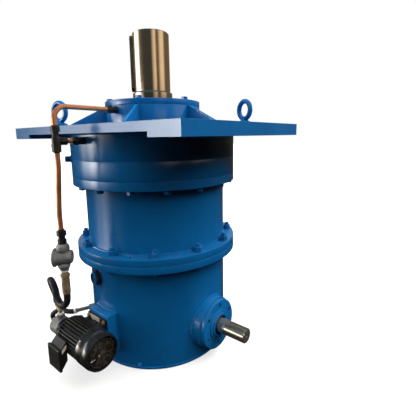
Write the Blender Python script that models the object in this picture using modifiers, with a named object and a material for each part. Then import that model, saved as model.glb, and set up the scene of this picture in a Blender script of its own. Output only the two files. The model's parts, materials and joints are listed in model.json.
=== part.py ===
"""Vertical cycloidal reducer with a right-angle input and its own oil pump.

Metres, +Z up. The origin is on the output axis, on the underside of the base cover.
+X is the input shaft's side, -Y the side that carries the pump motor and the oil lines.
"""

import math

import bmesh
import bpy
from mathutils import Matrix, Vector

OBJECT_NAME = "cycloidal_reducer"

# Clearances, edges and resolution
SEAT = 0.0003
RUNNING = 0.0005
SUNK = 0.001
EDGE = 0.003
END_GAP = 0.004
BIG_STEPS = 36
MID_STEPS = 20
SMALL_STEPS = 12
BEARING_STEPS = 14
FITTING_STEPS = 10
HOLE_STEPS = 12
BOLT_HOLE_STEPS = 8
BEND_STEPS = 8
KEY_END_STEPS = 6
EYE_STEPS = 16
EYE_WIRE_STEPS = 7

# Housing stack: the heights of its parts, then the levels that follow
COVER_THICK = 0.012
LOWER_FLANGE_Z = 0.538
LOWER_FLANGE_THICK = 0.037
UPPER_FLANGE_THICK = 0.036
MIDDLE_COLUMN_HEIGHT = 0.320
DRUM_SKIRT_HEIGHT = 0.044
RING_HEIGHT = 0.090
DRUM_HEIGHT = 0.127
PLATE_THICK = 0.040
BOSS_HEIGHT = 0.100
LID_THICK = 0.028
COLLAR_RISE = 0.050
JOURNAL_LENGTH = 0.313
FLANGE_SEAM_Z = LOWER_FLANGE_Z + LOWER_FLANGE_THICK
MIDDLE_FLANGE_Z = FLANGE_SEAM_Z + UPPER_FLANGE_THICK
DRUM_BOTTOM_Z = MIDDLE_FLANGE_Z + MIDDLE_COLUMN_HEIGHT
RING_BOTTOM_Z = DRUM_BOTTOM_Z + DRUM_SKIRT_HEIGHT
RING_TOP_Z = RING_BOTTOM_Z + RING_HEIGHT
PLATE_BOTTOM_Z = RING_TOP_Z + DRUM_HEIGHT
PLATE_TOP_Z = PLATE_BOTTOM_Z + PLATE_THICK
BOSS_TOP_Z = PLATE_TOP_Z + BOSS_HEIGHT
LID_TOP_Z = BOSS_TOP_Z + LID_THICK
COLLAR_TOP_Z = LID_TOP_Z + COLLAR_RISE
SHAFT_TOP_Z = COLLAR_TOP_Z + JOURNAL_LENGTH

# Housing radii
DRUM_RADIUS = 0.450
FLANGE_WIDTH = 0.060
COLUMN_WALL = 0.025
BOSS_RADIUS = 0.260
WEB_THICK = 0.040
WELD_LEG = 0.008
COLUMN_RADIUS = DRUM_RADIUS - FLANGE_WIDTH
COLUMN_BORE = COLUMN_RADIUS - COLUMN_WALL

# Mounting plate, its rails and the gussets
PLATE_HALF_X = 0.646
PLATE_HALF_Y = 0.4815
RAIL_HEIGHT = 0.021
RAIL_WIDTH = 0.167
GUSSET_COUNT = 6
GUSSET_THICK = 0.014
GUSSET_REACH = 0.215
GUSSET_TIP = 0.010
GUSSET_ROOT = 0.010
GUSSET_SUNK = 0.005
GUSSET_TOP_BELOW_BOSS = 0.003

# Eye bolts
EYE_X = 0.388
EYE_Y = 0.345
EYE_LIFT = 0.0845
EYE_RING_RADIUS = 0.049
EYE_WIRE_RADIUS = 0.0135
EYE_COLLAR_RADIUS = 0.0375
EYE_COLLAR_HEIGHT = 0.018
EYE_NECK_RADIUS = 0.024
EYE_NECK_TOP_RADIUS = 0.020
EYE_LEFT_TURN = math.radians(10)
EYE_RIGHT_TURN = math.radians(-20)

# Hex fasteners: across flats, head height and bolt circle
FLANGE_BOLT_FLATS = 0.036
FLANGE_BOLT_HEAD = 0.015
FLANGE_BOLT_MARGIN = 0.032
FLANGE_BOLT_COUNT = 12
FLANGE_BOLT_FIRST = math.radians(14.5)
FLANGE_BOLT_CIRCLE = DRUM_RADIUS - FLANGE_BOLT_MARGIN
DRUM_BOLT_FLATS = 0.030
DRUM_BOLT_HEAD = 0.018
DRUM_BOLT_MARGIN = 0.0275
DRUM_BOLT_COUNT = 16
DRUM_BOLT_FIRST = math.radians(-103.9)
LID_BOLT_FLATS = 0.030
LID_BOLT_HEAD = 0.013
LID_BOLT_MARGIN = 0.025
LID_BOLT_COUNT = 6
JACK_HOLE_RADIUS = 0.008
JACK_HOLE_ANGLE = math.radians(-62)
JACK_HOLE_DEPTH = 0.020

# Cycloid stage
LOBES = 11
RING_PINS = LOBES + 1
RING_WALL = 0.092
RING_PIN_SUNK = 0.008
RING_PIN_RADIUS = 0.024
ECCENTRICITY = 0.014
LOBE_CLEARANCE = 0.0014
POINTS_PER_LOBE = 10
PIN_ARC_POINTS = 6
DISC_SIDE_GAP = 0.003
DISC_MID_GAP = 0.006
DISC_TOP_GAP = 0.005
DISC_BORE = 0.115
OUTPUT_PINS = 6
OUTPUT_PIN_RADIUS = 0.028
OUTPUT_PIN_INSET = 0.003
OUTPUT_HOLE_CLEARANCE = 0.0012
OUTPUT_PIN_TIP = 0.004
RING_BORE = DRUM_RADIUS - RING_WALL
PIN_CIRCLE = RING_BORE - RING_PIN_SUNK
DISC_THICK = (RING_HEIGHT - DISC_SIDE_GAP - DISC_MID_GAP - DISC_TOP_GAP) / 2
DISC_ROOT = PIN_CIRCLE - RING_PIN_RADIUS - ECCENTRICITY
OUTPUT_PIN_CIRCLE = (DISC_ROOT + DISC_BORE + OUTPUT_PIN_INSET) / 2

# Vertical shaft and the rolling bearings
VERTICAL_SHAFT_RADIUS = 0.040
ECCENTRIC_RADIUS = 0.080
ECCENTRIC_RELIEF = 0.0005
SHAFT_COLLAR_RADIUS = 0.050
SHAFT_COLLAR_THICK = 0.012
PILOT_BORE = 0.062
PILOT_DEPTH = 0.034
PILOT_BEARING_HEIGHT = 0.024
BEARING_HOUSING_RADIUS = 0.075
FOOT_BOSS_RADIUS = 0.100
FOOT_BOSS_HEIGHT = 0.040
FOOT_CAP_THICK = 0.008
FOOT_BEARING_HEIGHT = 0.034
RACE_SHARE = 0.30
CAGE_RECESS_SHARE = 0.12

# Output shaft
OUTPUT_RADIUS = 0.099
COLLAR_RADIUS = 0.109
BEARING_SEAT_RADIUS = 0.115
LOWER_SEAT_RADIUS = 0.125
UPPER_BEARING_BORE = 0.180
LOWER_BEARING_BORE = 0.190
UPPER_BEARING_HEIGHT = 0.050
LOWER_BEARING_HEIGHT = 0.045
BEARING_SHOULDER = 0.010
FLANGE_MARGIN = 0.075
FLANGE_RADIUS = OUTPUT_PIN_CIRCLE + FLANGE_MARGIN
FLANGE_THICK = 0.040
FLANGE_GAP = 0.007
HUB_RADIUS = 0.150
CHAMFER = 0.004
SEAL_RADIUS = 0.130
SEAL_HEIGHT = 0.020
SEAL_RECESS = 0.002
SEAL_LIP_HEIGHT = 0.009
SEAL_LIP_WIDTH = 0.006
LID_LAND_GAP = 0.004
LID_RECESS = 0.006
KEY_WIDTH = 0.045
KEY_DEPTH = 0.014
KEY_PROUD = 0.014
KEY_BELOW_TOP = 0.007
KEY_ABOVE_COLLAR = 0.010
KEY_ANGLE = math.radians(-140)
KEY_TOP_Z = SHAFT_TOP_Z - KEY_BELOW_TOP
KEY_BOTTOM_Z = COLLAR_TOP_Z + KEY_ABOVE_COLLAR

# Right-angle input
INPUT_Z = 0.177
INPUT_BOSS_RADIUS = 0.138
INPUT_BOSS_PROUD = 0.030
INPUT_BOSS_INNER_X = 0.220
INPUT_COVER_RADIUS = 0.132
INPUT_COVER_THICK = 0.026
INPUT_COVER_EDGE = 0.004
INPUT_RING_RADIUS = 0.080
INPUT_RING_PROUD = 0.006
INPUT_STEP_RADIUS = 0.062
INPUT_STEP_PROUD = 0.012
INPUT_SHAFT_RADIUS = 0.0375
INPUT_COLLAR_RADIUS = 0.0395
INPUT_COLLAR_REACH = 0.051
INPUT_JOURNAL_LENGTH = 0.121
INPUT_GROOVE_DEPTH = 0.0025
INPUT_GROOVE_WIDTH = 0.003
INPUT_END_CHAMFER = 0.005
INPUT_BEARING_RADIUS = 0.078
INPUT_BEARING_WIDTH = 0.035
INPUT_BEARING_RECESS = 0.006
INPUT_SEAL_RADIUS = 0.050
INPUT_SEAL_DEPTH = 0.008
INPUT_SCREWS = 6
INPUT_SCREW_CIRCLE = 0.104
INPUT_SCREW_HOLE = 0.0095
INPUT_SCREW_DEPTH = 0.012
INPUT_SCREW_FIRST = math.radians(26)
INPUT_KEYWAY_WIDTH = 0.020
INPUT_KEYWAY_DEPTH = 0.0075
INPUT_KEYWAY_GAP = 0.015
INPUT_BOSS_FACE_X = COLUMN_RADIUS + INPUT_BOSS_PROUD
INPUT_COVER_FACE_X = INPUT_BOSS_FACE_X + INPUT_COVER_THICK
INPUT_COLLAR_END_X = INPUT_COVER_FACE_X + INPUT_COLLAR_REACH
INPUT_SHAFT_END_X = INPUT_COLLAR_END_X + INPUT_JOURNAL_LENGTH

# Bevel gears, which share one apex where the two axes cross
PINION_TEETH = 8
WHEEL_TEETH = 16
GEAR_MODULE = 0.01875
GEAR_FACE_SHARE = 0.30
ADDENDUM = 0.7
DEDENDUM = 0.9
TOOTH_ROOT_SHARE = 0.52
TOOTH_TIP_SHARE = 0.24
WHEEL_BACK = 0.030
PINION_BACK = 0.020
PINION_SHOULDER = 0.010
PINION_SEAT_END = 0.005
GEAR_FRONT = 0.004

# Pump motor, foot mounted on the bracket's outer face
BRACKET_MIN_X = -0.085
BRACKET_MAX_X = 0.081
BRACKET_PROUD = 0.045
BRACKET_ROOT = 0.020
BRACKET_HALF_HEIGHT = 0.1045
MOTOR_CENTRE_HEIGHT = 0.090
MOTOR_Z = 0.188
MOTOR_FOOT_SPREAD = 0.140
MOTOR_FOOT_X = (-0.066, 0.059)
MOTOR_FOOT_THICK = 0.011
MOTOR_FOOT_WIDTH = 0.036
MOTOR_FOOT_END = 0.012
MOTOR_LEG_THICK = 0.004
MOTOR_LEG_MARGIN = 0.010
MOTOR_LEG_INSET = 0.002
MOTOR_LEG_ROOT = 0.034
MOTOR_LEG_DROP = 0.008
MOTOR_BOLT_FLATS = 0.016
MOTOR_BOLT_HEAD = 0.007
MOTOR_BOLT_OUTSET = 0.005
MOTOR_DRIVE_X = -0.122
MOTOR_SHIELD_X = -0.104
MOTOR_FRAME_END_X = 0.072
MOTOR_END_X = 0.163
MOTOR_BORE = 0.062
MOTOR_ROOT_RADIUS = 0.072
MOTOR_FIN_RADIUS = 0.085
MOTOR_FINS = 20
MOTOR_FIN_SHARE = 0.34
SHIELD_BORE = 0.030
SHIELD_RIM = 0.009
FAN_COVER_RADIUS = 0.088
FAN_COVER_LIP_RADIUS = 0.080
FAN_COVER_LIP_WIDTH = 0.006
FAN_COVER_WALL = 0.003
FAN_COVER_END_BEND = 0.020
GRILLE_RINGS = 1
GRILLE_SPOKES = 3
GRILLE_BAR = 0.0036
GRILLE_RING_FACES = (0.0034, 0.0006)
GRILLE_SPOKE_FACES = (0.0030, 0.0010)
GRILLE_HUB_RADIUS = 0.016
FAN_BLADES = 8
FAN_BLADE_THICK = 0.003
FAN_BLADE_INSET = 0.002
FAN_HUB_RADIUS = 0.024
FAN_TIP_RADIUS = 0.068
FAN_WIDTH = 0.030
FAN_BACK = 0.070
ROTOR_RADIUS = 0.044
ROTOR_END_GAP = 0.016
ROTOR_TAIL = 0.030
STATOR_BORE = 0.045
STATOR_END_GAP = 0.012
MOTOR_SHAFT_RADIUS = 0.012
PUMP_SHAFT_RADIUS = 0.007
PUMP_SHAFT_END = 0.008
TERMINAL_MIN_X = -0.100
TERMINAL_MAX_X = 0.000
TERMINAL_REACH = 0.130
TERMINAL_LID_THICK = 0.014
TERMINAL_ROOT_Z = (0.128, 0.226)
TERMINAL_LID_Z = (0.092, 0.196)
TERMINAL_EDGE = 0.004
BRACKET_FACE_Y = -(COLUMN_RADIUS + BRACKET_PROUD)
BRACKET_ROOT_Y = -(COLUMN_RADIUS - BRACKET_ROOT)
MOTOR_Y = BRACKET_FACE_Y - MOTOR_CENTRE_HEIGHT
TERMINAL_OUTER_Y = MOTOR_Y - TERMINAL_REACH

# Gear pump on the motor's drive end
ADAPTER_RADIUS = 0.062
ADAPTER_NECK_RADIUS = 0.040
ADAPTER_BORE = 0.026
ADAPTER_FLANGE = 0.010
PUMP_FACE_X = -0.180
PUMP_COVER_X = -0.238
PUMP_END_X = -0.262
PUMP_RADIUS = 0.048
PUMP_END_CHAMFER = 0.014
PUMP_WALL = 0.012
PUMP_GEAR_TEETH = 9
PUMP_GEAR_PITCH = 0.016
PUMP_GEAR_TOOTH = 0.0032
PUMP_TOOTH_TIP = 0.8
PUMP_GEAR_WIDTH = 0.030
PUMP_PORT_X = -0.214
PUMP_PORT_RADIUS = 0.020
PUMP_PORT_HEIGHT = 0.062
PUMP_BORE_DEPTH = 0.020
PUMP_IDLER_GAP = 0.006

# Oil lines on the -Y side
LINE_X = 0.010
LINE_FROM_DRUM = 0.130
LINE_FROM_PLATE = 0.0985
LINE_BELOW_BOSS = 0.024
COPPER_RADIUS = 0.011
DRUM_PIPE_RADIUS = 0.0099
PIPE_BEND = 0.055
TEE_BELOW_PLATE = 0.032
TEE_UP = 0.068
TEE_UP_NUT = 0.040
TEE_DOWN = 0.050
TEE_DOWN_NUT = 0.012
TEE_SIDE = 0.050
TEE_SIDE_NUT = 0.022
TEE_NUT_SHARE = 0.92
FITTING_RADIUS = 0.021
FITTING_WAIST_SHARE = 0.74
FITTING_BODY_SHARE = 0.94
FITTING_BODY_END = 0.40
FITTING_NUT_START = 0.56
FITTING_CHAMFER = 0.002
BOSS_FITTING_LENGTH = 0.056
DRUM_FITTING_LENGTH = 0.058
RISER_FITTING_LENGTH = 0.0677
RISER_LOW_BEND = 0.093
RISER_HIGH_BEND = 0.273
RISER_FOOT_X = -0.010
INDICATOR_OFFSET_Y = 0.003
INDICATOR_ABOVE_SEAM = 0.060
INDICATOR_HALF = 0.064
INDICATOR_TURN = math.radians(48.5)
WINDOW_LENGTH = 0.042
WINDOW_RADIUS = 0.034
WINDOW_DEPTH = 0.014
GLASS_THICK = 0.006
GLASS_GAP = 0.0004
FERRULE_LENGTH = 0.112
FERRULE_NECK_RADIUS = 0.016
FERRULE_NUT_RADIUS = 0.021
FERRULE_RADIUS = 0.0175
HOSE_RADIUS = 0.0155
HOSE_LOOP = 0.100
SUCTION_HOSE_RADIUS = 0.0130
OUTLET_X = -0.250
OUTLET_HEIGHT = 0.120
OUTLET_RADIUS = 0.0105
INLET_X = -0.310
INLET_TOP = 0.008
INLET_DROP = 0.014
INLET_RADIUS = 0.0125
SUCTION_PORT_ANGLE = math.radians(-107)
SUCTION_PORT_Z = 0.262
SUCTION_PIPE_RADIUS = 0.0095
SUCTION_NUT_RADIUS = 0.017
SUCTION_NUT_LENGTH = 0.028
SUCTION_COLLAR_RADIUS = 0.0125
SUCTION_COLLAR_LENGTH = 0.010
BOSS_LINE_Z = BOSS_TOP_Z - LINE_BELOW_BOSS
LINE_Y = -max(DRUM_RADIUS + LINE_FROM_DRUM, PLATE_HALF_Y + LINE_FROM_PLATE)
TEE_Z = PLATE_BOTTOM_Z - TEE_BELOW_PLATE
INDICATOR_Y = LINE_Y - INDICATOR_OFFSET_Y
INDICATOR_Z = FLANGE_SEAM_Z + INDICATOR_ABOVE_SEAM

# Plugs and the level port
LEVEL_ANGLE = math.radians(-98.75)
LEVEL_Z = 0.448
LEVEL_BOSS_RADIUS = 0.034
LEVEL_BOSS_PROUD = 0.028
LEVEL_BORE_SHARE = 0.72
LEVEL_FLOOR_SHARE = 0.3
LEVEL_PLUG_SHARE = 0.45
DRAIN_ANGLE = math.radians(-60.5)
DRAIN_Z = 0.026
DRAIN_PLUG_RADIUS = 0.010
DRAIN_PLUG_PROUD = 0.018
DRAIN_PLUG_FLATS = 0.014
DRUM_PLUG_ANGLE = math.radians(-124)
DRUM_PLUG_RADIUS = 0.018
DRUM_PLUG_PROUD = 0.032
DRUM_PLUG_FLATS = 0.030
DRUM_PLUG_ABOVE_RING = -0.0025
PLUG_COLLAR = 0.006


def ready_scene():
    """Empties the scene and adds one collection for the object and one for its helpers."""
    for old in list(bpy.data.objects):
        bpy.data.objects.remove(old, do_unlink=True)
    for name in (OBJECT_NAME, "cutters"):
        collection = bpy.data.collections.new(name)
        bpy.context.scene.collection.children.link(collection)
    bpy.data.collections["cutters"].hide_render = True


def material(name, colour, roughness, metallic):
    made = bpy.data.materials.get(name)
    if made:
        return made
    made = bpy.data.materials.new(name)
    made.use_nodes = True
    shader = made.node_tree.nodes["Principled BSDF"]
    shader.inputs["Base Color"].default_value = (*colour, 1)
    shader.inputs["Roughness"].default_value = roughness
    shader.inputs["Metallic"].default_value = metallic
    return made


def blue_paint():
    return material("blue_paint", (0.01, 0.10, 0.33), 0.28, 0.0)


def bright_steel():
    return material("bright_steel", (0.56, 0.56, 0.58), 0.25, 1.0)


def bearing_steel():
    return material("bearing_steel", (0.45, 0.46, 0.48), 0.2, 1.0)


def copper():
    return material("copper", (0.72, 0.31, 0.18), 0.3, 1.0)


def brass():
    return material("brass", (0.55, 0.42, 0.22), 0.4, 1.0)


def black_steel():
    return material("black_steel", (0.03, 0.03, 0.03), 0.45, 0.6)


def motor_black():
    return material("motor_black", (0.02, 0.02, 0.022), 0.35, 0.0)


def cast_iron():
    return material("cast_iron", (0.26, 0.26, 0.26), 0.6, 0.6)


def black_rubber():
    return material("black_rubber", (0.02, 0.02, 0.02), 0.55, 0.0)


def glass():
    return material("sight_glass", (0.10, 0.09, 0.06), 0.1, 0.0)


def place(obj, finish=None, at=(0, 0, 0), turn=(0, 0, 0), helper=False):
    """Links an object into its collection, placed, and gives it its material."""
    obj.location = at
    obj.rotation_euler = turn
    target = "cutters" if helper else OBJECT_NAME
    bpy.data.collections[target].objects.link(obj)
    if helper:
        obj.hide_render = True
        obj.display_type = "WIRE"
    if finish:
        obj.data.materials.clear()
        obj.data.materials.append(finish)
    if obj.type == "MESH" and not helper:
        obj.data.shade_smooth()
        obj.data.set_sharp_from_angle(angle=math.radians(35))
    return obj


def mesh_object(name, bm):
    mesh = bpy.data.meshes.new(name)
    bm.to_mesh(mesh)
    bm.free()
    return bpy.data.objects.new(name, mesh)


def turned(name, profile, steps, finish=None, **where):
    """A turned piece about local Z. The profile runs down the outer side, and up the inner one of a ring."""
    bm = bmesh.new()
    points = [bm.verts.new((r, 0, z)) for r, z in profile]
    for a, b in zip(points, points[1:]):
        bm.edges.new((a, b))
    is_ring = profile[0][0] > 0
    if is_ring:
        bm.edges.new((points[-1], points[0]))
    obj = place(mesh_object(name, bm), finish, **where)
    screw = obj.modifiers.new("Turned", "SCREW")
    screw.axis = "Z"
    screw.steps = steps
    screw.render_steps = steps
    screw.use_merge_vertices = True
    screw.merge_threshold = 0.00001
    return obj


def cylinder(name, radius, length, steps=SMALL_STEPS, finish=None, **where):
    """A cylinder along local Z from 0 to length."""
    bm = bmesh.new()
    middle = Matrix.Translation((0, 0, length / 2))
    bmesh.ops.create_cone(
        bm, cap_ends=True, segments=steps, radius1=radius, radius2=radius, depth=length, matrix=middle
    )
    return place(mesh_object(name, bm), finish, **where)


def box(name, low, high, finish=None, **where):
    """A box between two corners."""
    low = Vector(low)
    high = Vector(high)
    bm = bmesh.new()
    bmesh.ops.create_cube(bm, size=1)
    bmesh.ops.scale(bm, vec=high - low, verts=bm.verts)
    bmesh.ops.translate(bm, vec=(low + high) / 2, verts=bm.verts)
    return place(mesh_object(name, bm), finish, **where)


def outline_plate(name, outlines, thick, finish=None, **where):
    """A flat piece: the outlines filled, as a mesh about local z = 0."""
    curve = bpy.data.curves.new(name, "CURVE")
    curve.dimensions = "2D"
    curve.fill_mode = "BOTH"
    curve.extrude = thick / 2
    for outline in outlines:
        spline = curve.splines.new("POLY")
        spline.points.add(len(outline) - 1)
        for point, (x, y) in zip(spline.points, outline):
            point.co = (x, y, 0, 1)
        spline.use_cyclic_u = True
    drawn = bpy.data.objects.new(name + "_outline", curve)
    return place(welded_mesh(name, drawn), finish, **where)


def welded_mesh(name, drawn):
    """A curve object as a closed mesh object. The curve is removed."""
    bpy.context.scene.collection.objects.link(drawn)
    graph = bpy.context.evaluated_depsgraph_get()
    mesh = bpy.data.meshes.new_from_object(drawn.evaluated_get(graph))
    bm = bmesh.new()
    bm.from_mesh(mesh)
    bmesh.ops.remove_doubles(bm, verts=bm.verts, dist=0.000001)
    bmesh.ops.recalc_face_normals(bm, faces=bm.faces)
    bm.to_mesh(mesh)
    bm.free()
    bpy.data.objects.remove(drawn, do_unlink=True)
    return bpy.data.objects.new(name, mesh)


def tube(name, route, radius, finish, resolution=3):
    """A pipe or hose along a route of points, with closed ends."""
    curve = bpy.data.curves.new(name, "CURVE")
    curve.dimensions = "3D"
    curve.bevel_depth = radius
    curve.bevel_resolution = resolution
    curve.use_fill_caps = True
    spline = curve.splines.new("POLY")
    spline.points.add(len(route) - 1)
    for point, (x, y, z) in zip(spline.points, route):
        point.co = (x, y, z, 1)
    return place(bpy.data.objects.new(name, curve), finish)


def smooth_route(points, spacing):
    """Points about one spacing apart on a smooth curve through the given ones."""
    points = [Vector(p) for p in points]
    ends = [2 * points[0] - points[1], *points, 2 * points[-1] - points[-2]]
    route = [points[0]]
    for before, a, b, after in zip(ends, ends[1:], ends[2:], ends[3:]):
        parts = max(1, round((b - a).length / spacing))
        for step in range(1, parts + 1):
            t = step / parts
            bend = (2 * before - 5 * a + 4 * b - after) * t * t + (3 * a - before - 3 * b + after) * t ** 3
            route.append(a + ((b - before) * t + bend) / 2)
    return route


def boolean(obj, other, operation):
    modifier = obj.modifiers.new(other.name, "BOOLEAN")
    modifier.operation = operation
    modifier.solver = "EXACT"
    modifier.object = other
    return obj


def cut(obj, *cutters):
    for cutter in cutters:
        boolean(obj, cutter, "DIFFERENCE")
    return obj


def join(obj, *others):
    for other in others:
        boolean(obj, other, "UNION")
    return obj


def on_circle(radius, angle, z=0.0):
    return Vector((radius * math.cos(angle), radius * math.sin(angle), z))


def spread(count, first=0.0):
    """The angles of a pattern of equal steps."""
    return [first + 2 * math.pi * index / count for index in range(count)]


def rows_of_cylinders(name, centres, radius, length, steps):
    """One helper that holds equal cylinders along local +Z from each centre."""
    bm = bmesh.new()
    for centre, turn in centres:
        lifted = Vector(centre) + Vector((0, 0, length / 2))
        where = Matrix.Translation(lifted) @ Matrix.Rotation(turn, 4, "Z")
        bmesh.ops.create_cone(
            bm, cap_ends=True, segments=steps, radius1=radius, radius2=radius, depth=length, matrix=where
        )
    return mesh_object(name, bm)


def hex_heads(name, circle, count, first, flats, low_z, high_z):
    """Hexagon heads on a bolt circle, between two heights."""
    centres = [(on_circle(circle, angle, low_z), angle) for angle in spread(count, first)]
    radius = flats / math.sqrt(3)
    return place(rows_of_cylinders(name, centres, radius, high_z - low_z, 6), helper=True)


def to_x():
    """The turn that lays local +Z along world +X."""
    return (0, math.pi / 2, 0)


def to_minus_y():
    return (math.pi / 2, 0, 0)


def outward(angle):
    """The turn that lays local +Z along the horizontal direction at an angle about world Z."""
    return (math.pi / 2, 0, angle + math.pi / 2)


def ring_profile(outer, inner, low_z, high_z):
    return [(outer, high_z), (outer, low_z), (inner, low_z), (inner, high_z)]


def inside_of(bore, steps):
    """The radius of a round piece that seats in a bore of so many facets."""
    return bore * math.cos(math.pi / steps) - SEAT


def around(radius, steps):
    """The corner radius of a faceted bore that clears a round piece."""
    return (radius + SEAT) / math.cos(math.pi / steps)


def bearing(name, shaft_radius, housing_radius, low, high, **where):
    """A rolling bearing as one ring, with its cage sunk between the races on the upper side."""
    inner = around(shaft_radius, BEARING_STEPS)
    race = RACE_SHARE * (housing_radius - inner)
    recess = CAGE_RECESS_SHARE * (high - low)
    profile = [
        (housing_radius, high),
        (housing_radius, low),
        (inner, low),
        (inner, high),
        (inner + race, high - recess),
        (housing_radius - race, high - recess),
    ]
    return turned(name, profile, BEARING_STEPS, bearing_steel(), **where)


def base_cover():
    """The bottom disc, with the boss that holds the vertical shaft's foot bearing."""
    top = COVER_THICK
    boss_top = top + FOOT_BOSS_HEIGHT
    bore = BEARING_HOUSING_RADIUS
    profile = [
        (0, FOOT_CAP_THICK),
        (bore, FOOT_CAP_THICK),
        (bore, boss_top),
        (FOOT_BOSS_RADIUS, boss_top),
        (FOOT_BOSS_RADIUS, top),
        (COLUMN_RADIUS, top),
        (COLUMN_RADIUS, 0),
        (0, 0),
    ]
    turned("base_cover", profile, BIG_STEPS, blue_paint())


def lower_housing():
    """The lower column: flange, input boss, motor bracket and oil ports, welded into one."""
    bottom = COVER_THICK + SEAT
    bore = COLUMN_BORE
    top = FLANGE_SEAM_Z - SEAT / 2
    profile = [
        (DRUM_RADIUS, top),
        (DRUM_RADIUS, LOWER_FLANGE_Z),
        (COLUMN_RADIUS, LOWER_FLANGE_Z),
        (COLUMN_RADIUS, bottom),
        (bore, bottom),
        (bore, top),
    ]
    housing = turned("lower_housing", profile, BIG_STEPS, blue_paint())
    boss = cylinder(
        "input_boss",
        INPUT_BOSS_RADIUS,
        INPUT_BOSS_FACE_X - INPUT_BOSS_INNER_X,
        BIG_STEPS,
        at=(INPUT_BOSS_INNER_X, 0, INPUT_Z),
        turn=to_x(),
        helper=True,
    )
    bracket = box(
        "motor_bracket",
        (BRACKET_MIN_X, BRACKET_FACE_Y, MOTOR_Z - BRACKET_HALF_HEIGHT),
        (BRACKET_MAX_X, BRACKET_ROOT_Y, MOTOR_Z + BRACKET_HALF_HEIGHT),
        helper=True,
    )
    root = COLUMN_RADIUS - COLUMN_WALL / 2
    level_boss = cylinder(
        "level_boss",
        LEVEL_BOSS_RADIUS,
        COLUMN_RADIUS + LEVEL_BOSS_PROUD - root,
        BEARING_STEPS,
        at=on_circle(root, LEVEL_ANGLE, LEVEL_Z),
        turn=outward(LEVEL_ANGLE),
        helper=True,
    )
    nuts = hex_heads(
        "flange_nuts",
        FLANGE_BOLT_CIRCLE,
        FLANGE_BOLT_COUNT,
        FLANGE_BOLT_FIRST,
        FLANGE_BOLT_FLATS,
        LOWER_FLANGE_Z - FLANGE_BOLT_HEAD,
        LOWER_FLANGE_Z + SUNK,
    )
    join(housing, boss, bracket, level_boss, nuts)
    input_bore = cylinder(
        "input_bore",
        INPUT_BEARING_RADIUS,
        INPUT_BOSS_FACE_X - INPUT_BOSS_INNER_X + 2 * SUNK,
        MID_STEPS,
        at=(INPUT_BOSS_INNER_X - SUNK, 0, INPUT_Z),
        turn=to_x(),
        helper=True,
    )
    level_bore = cylinder(
        "level_bore",
        LEVEL_BOSS_RADIUS * LEVEL_BORE_SHARE,
        LEVEL_BOSS_PROUD,
        SMALL_STEPS,
        at=on_circle(COLUMN_RADIUS + LEVEL_BOSS_PROUD * LEVEL_FLOOR_SHARE, LEVEL_ANGLE, LEVEL_Z),
        turn=outward(LEVEL_ANGLE),
        helper=True,
    )
    cut(housing, input_bore, level_bore)


def middle_housing():
    """The upper column: two flanges and the web that holds the vertical shaft's bearing."""
    bore = COLUMN_BORE
    bottom = FLANGE_SEAM_Z + SEAT / 2
    top = RING_BOTTOM_Z - SEAT / 2
    web = BEARING_HOUSING_RADIUS
    profile = [
        (DRUM_RADIUS, top),
        (DRUM_RADIUS, DRUM_BOTTOM_Z),
        (COLUMN_RADIUS, DRUM_BOTTOM_Z),
        (COLUMN_RADIUS, MIDDLE_FLANGE_Z + WELD_LEG),
        (COLUMN_RADIUS + WELD_LEG, MIDDLE_FLANGE_Z),
        (DRUM_RADIUS, MIDDLE_FLANGE_Z),
        (DRUM_RADIUS, bottom),
        (bore, bottom),
        (bore, top - WEB_THICK),
        (web, top - WEB_THICK),
        (web, top),
    ]
    housing = turned("middle_housing", profile, BIG_STEPS, blue_paint())
    flange_bolts = hex_heads(
        "flange_bolts",
        FLANGE_BOLT_CIRCLE,
        FLANGE_BOLT_COUNT,
        FLANGE_BOLT_FIRST,
        FLANGE_BOLT_FLATS,
        MIDDLE_FLANGE_Z - SUNK,
        MIDDLE_FLANGE_Z + FLANGE_BOLT_HEAD,
    )
    jack_hole = cylinder(
        "jack_hole",
        JACK_HOLE_RADIUS,
        JACK_HOLE_DEPTH + SUNK,
        BOLT_HOLE_STEPS,
        at=on_circle(FLANGE_BOLT_CIRCLE, JACK_HOLE_ANGLE, MIDDLE_FLANGE_Z - JACK_HOLE_DEPTH),
        helper=True,
    )
    drum_bolts = hex_heads(
        "drum_bolts",
        DRUM_RADIUS - DRUM_BOLT_MARGIN,
        DRUM_BOLT_COUNT,
        DRUM_BOLT_FIRST,
        DRUM_BOLT_FLATS,
        DRUM_BOTTOM_Z - DRUM_BOLT_HEAD,
        DRUM_BOTTOM_Z + SUNK,
    )
    join(housing, flange_bolts, drum_bolts)
    cut(housing, jack_hole)


def circle_points(radius, steps, centre=(0, 0)):
    x, y = centre
    return [(x + radius * math.cos(angle), y + radius * math.sin(angle)) for angle in spread(steps)]


def pin_ring():
    """The fixed ring of the cycloid stage, with its pins half sunk in the bore."""
    start = math.acos((PIN_CIRCLE**2 + RING_BORE**2 - RING_PIN_RADIUS**2) / (2 * PIN_CIRCLE * RING_BORE))
    edge = Vector((RING_BORE * math.cos(start) - PIN_CIRCLE, RING_BORE * math.sin(start)))
    half_arc = math.pi - math.atan2(edge.y, edge.x)
    inner = []
    for angle in spread(RING_PINS):
        middle = on_circle(PIN_CIRCLE, angle)
        for step in range(PIN_ARC_POINTS):
            turn = angle + math.pi + half_arc * (1 - 2 * step / (PIN_ARC_POINTS - 1))
            point = middle + on_circle(RING_PIN_RADIUS, turn)
            inner.append((point.x, point.y))
        for share in (1 / 3, 2 / 3):
            between = on_circle(RING_BORE, angle + start + share * (2 * math.pi / RING_PINS - 2 * start))
            inner.append((between.x, between.y))
    height = RING_TOP_Z - RING_BOTTOM_Z - SEAT
    outline_plate(
        "pin_ring",
        [circle_points(DRUM_RADIUS, BIG_STEPS), inner],
        height,
        blue_paint(),
        at=(0, 0, (RING_TOP_Z + RING_BOTTOM_Z) / 2),
    )


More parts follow.
